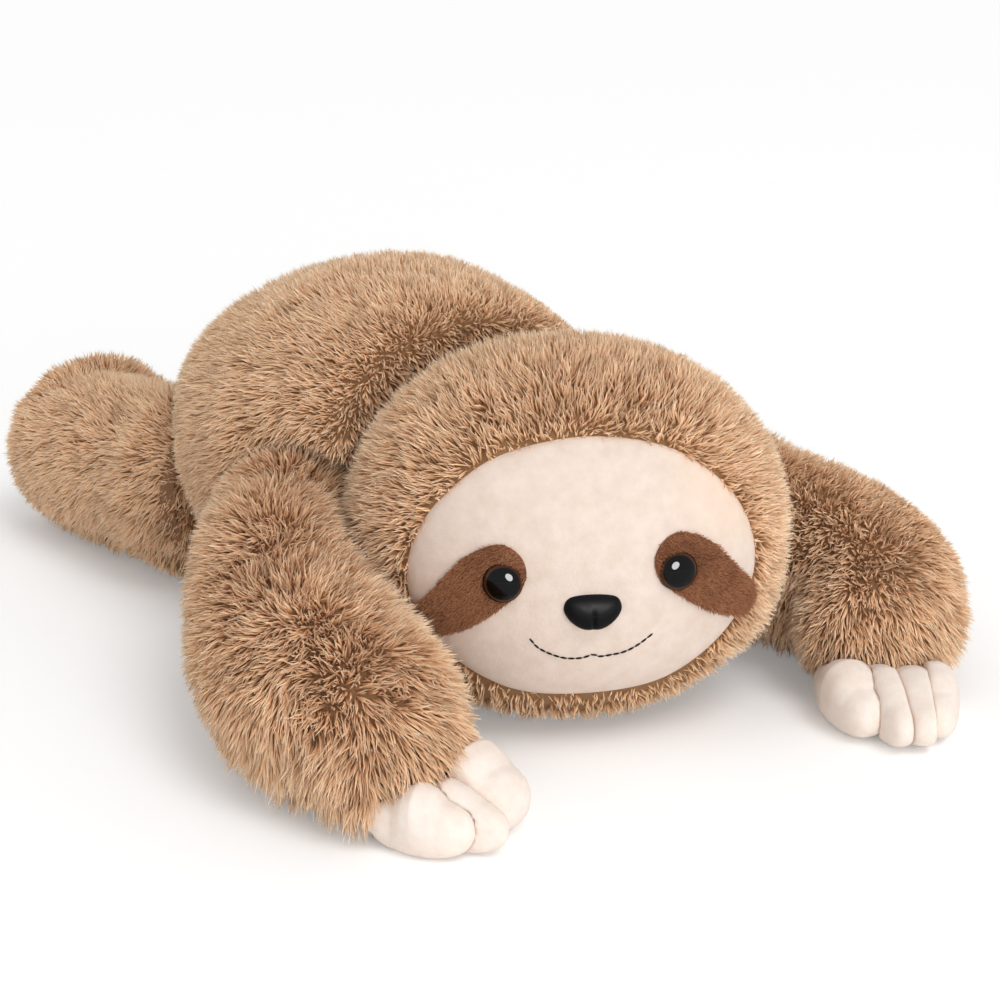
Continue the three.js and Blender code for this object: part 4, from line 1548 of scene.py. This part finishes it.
    def nose(self) -> None:
        """The moulded nose: a rounded triangle with a groove down its middle."""
        outward = HEAD.outward(0, -self.nose_drop)
        seat = HEAD.placed(0, -self.nose_drop, self.nose_lift)
        corners = np.array(NOSE_OUTLINE, float) * (self.nose_half_width, self.nose_half_height)
        rim = closed_curve(corners, self.nose_steps)
        rows, faces = dome_rows(rim, self.nose_depth, self.nose_rings, self.skirt)
        carved = []
        for x, y, z in rows:
            groove = math.exp(-((x / self.groove_width) ** 2)) * max(0.0, y / self.nose_depth)
            low = 1 / (1 + math.exp((z - self.groove_top) / self.groove_fade))
            carved.append((x, y - self.groove_depth * groove * low, z))
        piece = mesh_object("nose_moulding", placed_rows(carved, seat, outward), faces)
        face_outwards(piece)
        finish_piece(piece, NOSE_PLASTIC.material(), "head", "nose_satin", "nose")

    def mouth(self) -> None:
        """The mouth: satin stitches laid end to end along its line by Geometry Nodes."""
        path = []
        for x, z in MOUTH_LINE:
            across, rise = x * self.mouth_half_width, z * self.mouth_depth - self.mouth_drop
            lift = self.panel_lift - self.dimple(across, rise) + self.mouth_lift
            path.append(np.array(HEAD.placed(across, rise, lift)))
        smooth = []
        for i in range(len(path) - 1):
            knots = path[max(i - 1, 0)], path[i], path[i + 1], path[min(i + 2, len(path) - 1)]
            places = np.linspace(0, 1, self.mouth_steps, endpoint=False)
            smooth += [between(knots, t) for t in places]
        smooth.append(path[-1])
        edges = [(i, i + 1) for i in range(len(smooth) - 1)]
        piece = mesh_object("mouth_stitches", smooth, [], edges)
        StitchLine(*self.stitches).sew(piece, THREAD.material())
        finish_piece(piece, None, "head", "thread", "mouth_stitching")


def ring_turns(count: int) -> list[float]:
    """Equal angles round a ring."""
    return [2 * math.pi * i / count for i in range(count)]


# How full a dome's shoulder is, as a power
DOME_CURVE = 0.9


def dome_rows(
    outline: Sequence[Sequence[float]], depth: float, rings: int, skirt: float
) -> tuple[list[Place], list[tuple[int, ...]]]:
    """Points and faces of a closed dome over a flat outline, along +Y.

    Args:
        outline: Places across and up, round its foot.
        depth: How far it rises.
        rings: How many rings climb it.
        skirt: How far its wall goes below its foot.

    Returns:
        The points and the faces.
    """
    count = len(outline)
    rows: list[Place] = [(x, -skirt, z) for x, z in outline]
    for i in range(rings):
        angle = 0.5 * math.pi * i / rings
        keep, rise = math.cos(angle) ** DOME_CURVE, math.sin(angle)
        rows.extend((x * keep, depth * rise, z * keep) for x, z in outline)
    rows.append((0.0, depth, 0.0))
    top = len(rows) - 1
    faces: list[tuple[int, ...]] = [tuple(range(count))[::-1]]
    for j in range(count):
        n = (j + 1) % count
        for i in range(rings):
            a = i * count
            faces.append((a + j, a + n, a + count + n, a + count + j))
        faces.append((rings * count + j, rings * count + n, top))
    return rows, faces


def placed_rows(
    rows: Sequence[Sequence[float]], seat: Vector, outward: Vector
) -> list[Vector]:
    """Stand points on a seat with +Y outward and +Z as upright as it can be.

    Args:
        rows: Points in their own frame.
        seat: Where their origin goes.
        outward: Where +Y goes.

    Returns:
        The points in the sloth's frame.
    """
    side = outward.cross(Vector((0, 0, 1))).normalized()
    rise = side.cross(outward)
    return [seat + side * x + outward * y + rise * z for x, y, z in rows]


@dataclass(frozen=True)
class StitchLine:
    """Thread stitches laid end to end along a line of edges."""

    length: float
    step: float
    radius: float

    def sew(self, piece: Object, finish: Material) -> None:
        """Turn a piece's edges into stitches.

        Args:
            piece: A piece whose mesh is one open line.
            finish: The thread's material.
        """
        sizes = {
            "Stitch length": self.length,
            "Stitch step": self.step,
            "Thread radius": self.radius,
        }
        kinds = {**dict.fromkeys(sizes, "Float"), "Finish": "Material"}
        tree, add, given = start_tree("stitches", kinds)
        path = {
            "Curve": add("GeometryNodeMeshToCurve", {}, {0: given["Geometry"]}),
            "Length": given["Stitch step"],
        }
        points = add("GeometryNodeCurveToPoints", {"mode": "LENGTH"}, path, "Points")
        ball = {"Segments": 10, "Rings": 8, "Radius": 1.0}
        half = add(MATHS, MULTIPLY, {0: given["Stitch length"], 1: 0.5})
        size = {"X": given["Thread radius"], "Y": given["Thread radius"], "Z": half}
        laying = {
            "Points": points,
            "Instance": add("GeometryNodeMeshUVSphere", {}, ball, "Mesh"),
            "Rotation": points.node.outputs["Rotation"],
            "Scale": add(JOINED, {}, size),
        }
        laid = add("GeometryNodeInstanceOnPoints", {}, laying)
        real = add("GeometryNodeRealizeInstances", {}, {"Geometry": laid})
        end_tree(add, real, given["Finish"])
        run_tree(piece, tree, {**sizes, "Finish": finish}, smooth=True)
        bpy.data.node_groups.remove(tree)


# ---------------------------------------------------------------- paws


@dataclass(frozen=True)
class Digit:
    """One padded digit of a paw, its steps and sizes as shares of the usual claw's."""

    across: float
    forward: float
    fan: float
    long: float
    wide: float
    tall: float
    root: float = 0.72


@dataclass
class Paw:
    """Four padded velour digits side by side at a wrist."""

    side: Side
    digits: tuple[Digit, ...]
    whole: int
    wrist_side: float = 121 * MM
    wrist_forward: float = 212 * MM
    wrist_height: float = 30.5 * MM
    wrist_ball: float = 31 * MM
    wrist_gap: float = 0.6 * MM
    wrist_ease: float = 3 * MM
    length: float = 43 * MM
    half_width: float = 11.5 * MM
    half_height: float = 14.5 * MM
    aim: float = 27
    floor_cut: float = 0.5 * MM
    lowest: float = 0.2 * MM
    crease: float = 1.3 * MM
    roundness: float = 2.4
    section: float = 2.25
    press_gap: float = 0.1 * MM
    tip_limit: float = 0.999
    turns: int = 40
    root_rings: int = 9
    body_rings: int = 26
    tip_rings: int = 14
    fill: float = 0.8
    shares: tuple[Place, ...] = (
        (0, 0.72, 0.8),
        (0.17, 0.89, 0.93),
        (0.34, 1, 1),
        (0.54, 0.98, 0.93),
        (0.72, 0.92, 0.82),
    )
    pieces: list[Object] = field(default_factory=list)

    @property
    def wrist(self) -> Vector:
        """The middle of the wrist."""
        return Vector((self.side.value * self.wrist_side, -self.wrist_forward, self.wrist_height))

    def ways(self, fan: float = 0.0) -> tuple[Vector, Vector]:
        """The ways ahead of and across the paw.

        Args:
            fan: Degrees that a digit fans out by.

        Returns:
            Two unit vectors.
        """
        turn = math.radians(self.aim + fan)
        ahead = Vector((-self.side.value * math.sin(turn), -math.cos(turn), 0))
        return ahead, Vector((self.side.value * math.cos(turn), -math.sin(turn), 0))

    def root(self, digit: Digit) -> Vector:
        """Where a digit starts.

        Args:
            digit: One of the paw's digits.

        Returns:
            The place, at the wrist's height.
        """
        ahead, across = self.ways()
        step = self.wrist_ball - self.half_width + digit.forward * self.length
        return self.wrist + across * digit.across * self.length + ahead * step

    def build(self) -> None:
        """Build the four digits."""
        for number, digit in enumerate(self.digits):
            self.pieces.append(self.claw(number, digit))

    def claw(self, number: int, digit: Digit) -> Object:
        """One digit: a padded tube with a rounded tip, creased where it presses on the next.

        Args:
            number: Its place in the paw.
            digit: Its sizes.

        Returns:
            The piece, not yet riding.
        """
        ahead, across = self.ways(digit.fan)
        start = self.root(digit)
        cap = self.half_width
        end = self.shares[-1][0] * digit.long * self.length
        steps = np.concatenate(
            (
                -cap * np.cos(np.linspace(0, math.pi / 2, self.root_rings))[1:],
                np.linspace(0, end, self.body_rings)[1:-1],
                end + cap * np.sin(np.linspace(0, math.pi / 2, self.tip_rings))[:-1],
            )
        )
        rows: list[Vector] = []
        bulge, section = self.roundness, self.section
        for along in steps:
            wide, tall = self.halves(digit, along)
            off = abs(2 * (along + cap) / (end + 2 * cap) - 1)
            close = max(0.0, 1 - off**bulge) ** (1 / bulge)
            middle = tall - self.floor_cut
            for turn in ring_turns(self.turns):
                x, z = math.cos(turn), math.sin(turn)
                bulk = (abs(x) ** section + abs(z) ** section) ** (-1 / section)
                spot = start + ahead * along + across * (x * bulk * wide * close)
                spot.z = middle + z * bulk * tall * close
                rows.append(spot)
        for along, level in ((-cap, 0), (end + cap, end)):
            tip = start + ahead * along
            tip.z = self.halves(digit, level)[1] - self.floor_cut
            rows.append(tip)
        count, rings = self.turns, len(steps)
        first, last = rings * count, rings * count + 1
        faces: list[tuple[int, ...]] = []
        for j in range(count):
            n = (j + 1) % count
            faces.append((first, j, n))
            for a in range(0, (rings - 1) * count, count):
                faces.append((a + j, a + count + j, a + count + n, a + n))
            faces.append((last, (rings - 1) * count + n, (rings - 1) * count + j))
        piece = mesh_object(f"claw_padding_{self.side.word}_{number + 1}", rows, faces)
        self.press(piece, number)
        face_outwards(piece)
        return piece

    def halves(
        self, digit: Digit, along: float | np.ndarray
    ) -> tuple[float | np.ndarray, float | np.ndarray]:
        """A digit's half width and half height before its ends close.

        Args:
            digit: One of the paw's digits.
            along: Where to look, from its root.

        Returns:
            The half width and the half height.
        """
        shares = np.array(self.shares)
        shares[0, 1] = digit.root
        places = shares[:, 0] * digit.long * self.length
        wide = np.interp(along, places, shares[:, 1]) * digit.wide * self.half_width
        return wide, np.interp(along, places, shares[:, 2]) * digit.tall * self.half_height

    def press(self, piece: Object, number: int) -> None:
        """Flatten a digit against its neighbours, the wrist and the floor.

        Args:
            piece: The digit.
            number: Its place in the paw.
        """
        rows = places_of(piece.data)
        digit = self.digits[number]
        here = self.root(digit)
        for other in (number - 1, number + 1):
            if number == self.whole or not 0 <= other < len(self.digits):
                continue
            next_digit = self.digits[other]
            ahead, _ = self.ways((digit.fan + next_digit.fan) / 2)
            towards = self.root(next_digit) - here
            towards -= ahead * towards.dot(ahead)
            towards.z = 0
            towards.normalize()
            if other == self.whole:
                rows = self.hug(rows, next_digit, -towards)
                continue
            share = digit.wide / (digit.wide + next_digit.wide)
            middle = here.lerp(self.root(next_digit), share) - towards * self.press_gap
            past = (rows - np.array(middle)) @ np.array(towards)
            pressed = -self.crease * np.exp(-(past + self.crease) / self.crease)
            moved = np.where(past > -self.crease, pressed - past, 0)
            rows += moved[:, None] * np.array(towards)
        wrist = np.array(self.wrist)
        from_wrist = rows - wrist
        away = np.linalg.norm(from_wrist, axis=1, keepdims=True)
        seat, ease = self.wrist_ball + self.wrist_gap, self.wrist_ease
        eased = seat + ease * np.exp(np.minimum((away - seat - ease) / ease, 0))
        pushed = wrist + from_wrist * eased / np.maximum(away, NO_LENGTH)
        rows = np.where(away < seat + ease, pushed, rows)
        rows[:, 2] = np.maximum(rows[:, 2], self.lowest)
        set_places(piece.data, rows)

    def hug(self, rows: np.ndarray, whole: Digit, away: Vector) -> np.ndarray:
        """Push a digit's points out of the digit that keeps its round shape.

        Args:
            rows: The points.
            whole: The round digit.
            away: The way from the round digit to this one.

        Returns:
            The moved points.
        """
        ahead, across = self.ways(whole.fan)
        across = across if across.dot(away) > 0 else -across
        from_root = rows - np.array(self.root(whole))
        end = self.shares[-1][0] * whole.long * self.length
        along = from_root @ np.array(ahead)
        off = np.abs(2 * (along + self.half_width) / (end + 2 * self.half_width) - 1)
        close = (1 - np.minimum(off, self.tip_limit) ** self.roundness) ** (1 / self.roundness)
        wide, tall = self.halves(whole, along)
        high = np.abs(rows[:, 2] - tall + self.floor_cut) / (tall * close)
        round_side = (1 - np.minimum(high, 1) ** self.section) ** (1 / self.section)
        side = wide * close * round_side + self.lowest
        out = from_root @ np.array(across)
        eased = side + self.crease * np.exp(np.minimum((out - side - self.crease) / self.crease, 0))
        moved = np.where(out < side + self.crease, eased - out, 0)
        return rows + moved[:, None] * np.array(across)

    def ride(self, finish: Material) -> None:
        """Dress the digits and move them with the paw.

        Args:
            finish: The velour's material.
        """
        word = self.side.word
        for number, piece in enumerate(self.pieces, start=1):
            finish_piece(piece, finish, f"claws_{word}", "claw_velour", f"claw_{word}_{number}")


LEFT_DIGITS = (
    Digit(-0.5, 0.12, -12, 1.0, 1.08, 1.02),
    Digit(-0.12, 0.12, -3, 1.36, 0.88, 0.96, root=1.7),
    Digit(0.22, 0.16, 3, 1.3, 1.08, 0.94),
    Digit(0.48, 0.14, 8, 1.08, 0.86, 0.96),
)
RIGHT_DIGITS = (
    Digit(-0.72, -0.15, -9, 0.5, 0.85, 0.85),
    Digit(-0.22, 0.1, -6, 0.72, 1.65, 1.2),
    Digit(0.27, 0.08, 2, 0.86, 0.85, 0.95, root=1.1),
    Digit(0.54, 0.02, 9, 0.64, 0.98, 1.0),
)


# ---------------------------------------------------------------- studio


@dataclass(frozen=True)
class Studio:
    """The camera at the photograph's angle, a white floor and plain soft light."""

    target: Place = (127.56 * MM, 96.74 * MM, 0.0)
    azimuth: float = -32.4
    elevation: float = 18.0
    distance: float = 1382 * MM
    lens: float = 93.6
    sensor: float = 36.0
    nearest: float = 50 * MM
    sun_azimuth: float = 4.0
    sun_elevation: float = 55.0
    sun_share: float = 0.22
    sun_spread: float = 32.0
    sky_share: float = 0.56
    face: Place = (0.0, -0.2, 0.08)
    fill_azimuth: float = -14.0
    fill_elevation: float = 7.0
    fill_distance: float = 2.5
    fill_size: float = 2.0
    fill_watts: float = 34.0
    mirrored_place: Place = (-0.35, -1.33, 0.6)
    mirrored_size: float = 0.8
    mirrored_watts: float = 70.0
    floor_glow: float = 0.2
    floor_reach: float = 14.0

    def build(self) -> None:
        """Set up the view, the floor, the world and the lamps."""
        bpy.context.scene.view_settings.view_transform = "Standard"
        self.camera()
        self.floor()
        self.sky()
        self.lamps()

    def way(self, azimuth: float, elevation: float) -> Vector:
        """The way from the object, by degrees from its front and degrees above the floor."""
        a, e = math.radians(azimuth), math.radians(elevation)
        return Vector((math.sin(a) * math.cos(e), -math.cos(a) * math.cos(e), math.sin(e)))

    def camera(self) -> None:
        """The camera that matches the photograph."""
        data = bpy.data.cameras.new("camera")
        data.lens, data.sensor_width, data.clip_start = self.lens, self.sensor, self.nearest
        back, turn = self.way(self.azimuth, self.elevation), math.radians(self.azimuth)
        right = Vector((math.cos(turn), math.sin(turn), 0))
        axes = Matrix((right, back.cross(right), back)).transposed().to_4x4()
        camera = stand("camera", data)
        camera.matrix_world = Matrix.Translation(Vector(self.target) + back * self.distance) @ axes
        bpy.context.scene.camera = camera

    def floor(self) -> None:
        """A wide white floor with a matte finish, which takes the object's shadow."""
        size = self.floor_reach
        corners = [(-size, -size, 0), (size, -size, 0), (size, size, 0), (-size, size, 0)]
        floor = mesh_object("floor", corners, [(0, 1, 2, 3)])
        # Rolled matte paper: no gloss, only the soft grey of the shadow on it
        material, add = start_material("matte_white_paper", roughness=0.95)
        inputs = {
            "Base Color": linear("fdfdfd"),
            "Specular IOR Level": 0.0,
            "Emission Color": (1, 1, 1, 1),
            "Emission Strength": add(MATHS, MULTIPLY, {0: self.seen(add), 1: self.floor_glow}),
        }
        dress(floor, shade(material, inputs))

    def seen(self, add: Callable) -> NodeSocket:
        """Add what is one on rays from the camera, from gloss and through glass, and else zero.

        Args:
            add: Adds a node to the tree of the floor or the world.

        Returns:
            The socket that gives it.
        """
        path = add("ShaderNodeLightPath").node.outputs
        seen = path["Is Camera Ray"]
        for ray in ("Is Glossy Ray", "Is Transmission Ray"):
            seen = add(MATHS, MAXIMUM, {0: seen, 1: path[ray]})
        return seen

    def sky(self) -> None:
        """A white surround, dimmer where it only lights the object."""
        world = bpy.data.worlds.new("studio")
        world.use_nodes = True
        world.node_tree.nodes.clear()
        add = partial(add_node, world.node_tree)
        dim, white = (
            add("ShaderNodeBackground", {}, {"Color": (1, 1, 1, 1), "Strength": strength})
            for strength in (self.sky_share, 1.0)
        )
        mixed = add("ShaderNodeMixShader", {}, {0: self.seen(add), 1: dim, 2: white})
        add("ShaderNodeOutputWorld", {}, {"Surface": mixed})
        bpy.context.scene.world = world

    def lamps(self) -> None:
        """A broad key light, a soft fill beside the camera, and a disc that only gloss mirrors."""
        way = self.way(self.sun_azimuth, self.sun_elevation)
        data = bpy.data.lights.new("key", "SUN")
        data.energy = math.pi * self.sun_share / math.sin(math.radians(self.sun_elevation))
        data.angle = math.radians(self.sun_spread)
        data.specular_factor = 0.0
        key = stand("key", data)
        key.rotation_euler = way.to_track_quat("Z", "Y").to_euler()
        key.visible_glossy = False
        face = Vector(self.face)
        place = face + self.way(self.fill_azimuth, self.fill_elevation) * self.fill_distance
        for name, spot, size, watts in (
            ("fill", place, self.fill_size, self.fill_watts),
            ("catchlight", Vector(self.mirrored_place), self.mirrored_size, self.mirrored_watts),
        ):
            data = bpy.data.lights.new(name, "AREA")
            data.shape, data.size, data.energy = "DISK", size, watts
            lamp = stand(name, data)
            lamp.location = spot
            lamp.rotation_euler = (spot - face).to_track_quat("Z", "Y").to_euler()
            lamp.visible_diffuse = name == "fill"
            lamp.visible_glossy = name == "catchlight"


# ---------------------------------------------------------------- assembly


def stuffed_bodies() -> list[StuffedBody]:
    """The six sewn and stuffed bodies of the sloth.

    Returns:
        The torso, the head, and the arm and leg of each side.
    """
    torso = StuffedBody(
        "torso", ("torso_skin",), ("torso_stuffing",), bands=4, pile=0.8, taper=0.65, smoothing=26
    )
    bodies = [torso, StuffedBody("head", ("head_skin",), ("head_stuffing",), also=("face_panel",))]
    for word in (side.word for side in Side):
        for name, limbs, pile in (("arm", ("arm",), 0.9), ("leg", ("leg", "foot"), 0.68)):
            skins, cores = (
                tuple(f"{limb}_{layer}_{word}" for limb in limbs) for layer in ("skin", "stuffing")
            )
            bodies.append(StuffedBody(f"{name}_{word}", skins, cores, pile=pile))
    return bodies


def dress_cad_nodes() -> None:
    """Give the CAD nodes that stay their materials."""
    seam, washer = SEAM_CLOTH.material(), WASHER_PLASTIC.material()
    for name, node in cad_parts.items():
        finish = seam if "seam" in name else washer if "washer" in name else None
        if finish:
            for slot in node.material_slots:
                slot.material = finish
            log.info("%s keeps its CAD form", name)


def main() -> None:
    """Build the studio and the sloth."""
    logging.basicConfig(level=logging.INFO, format="%(name)s: %(message)s", stream=sys.stdout)
    Studio().build()
    bodies = stuffed_bodies()
    for body in bodies:
        body.make()
    paws = [Paw(Side.LEFT, LEFT_DIGITS, whole=0), Paw(Side.RIGHT, RIGHT_DIGITS, whole=3)]
    for paw in paws:
        paw.build()
    Stuffer().swell(bodies)
    for body in bodies:
        body.rest_on_floor()
    obstacles = [(b.body, tree_of(b.piece)) for b in bodies]
    obstacles += [(f"claws_{p.side.word}", tree_of(piece)) for p in paws for piece in p.pieces]
    groomer, weaver = Groomer(), PileWeaver()
    pile, backing = PILE.material(), BACKING.material()
    for number, body in enumerate(bodies):
        groomer.groom(body, obstacles)
        name, seed = f"{body.body}_pile", FIRST_SEED + number
        tufts = weaver.weave(body.piece, name, pile, seed, body.bands)
        body.ride(backing)
        for part in tufts:
            finish_piece(part, None, body.body, "fur")
    claw_finish = CLAW_CLOTH.material()
    for paw in paws:
        paw.ride(claw_finish)
    Face().build()
    dress_cad_nodes()


if __name__ == "__main__":
    main()
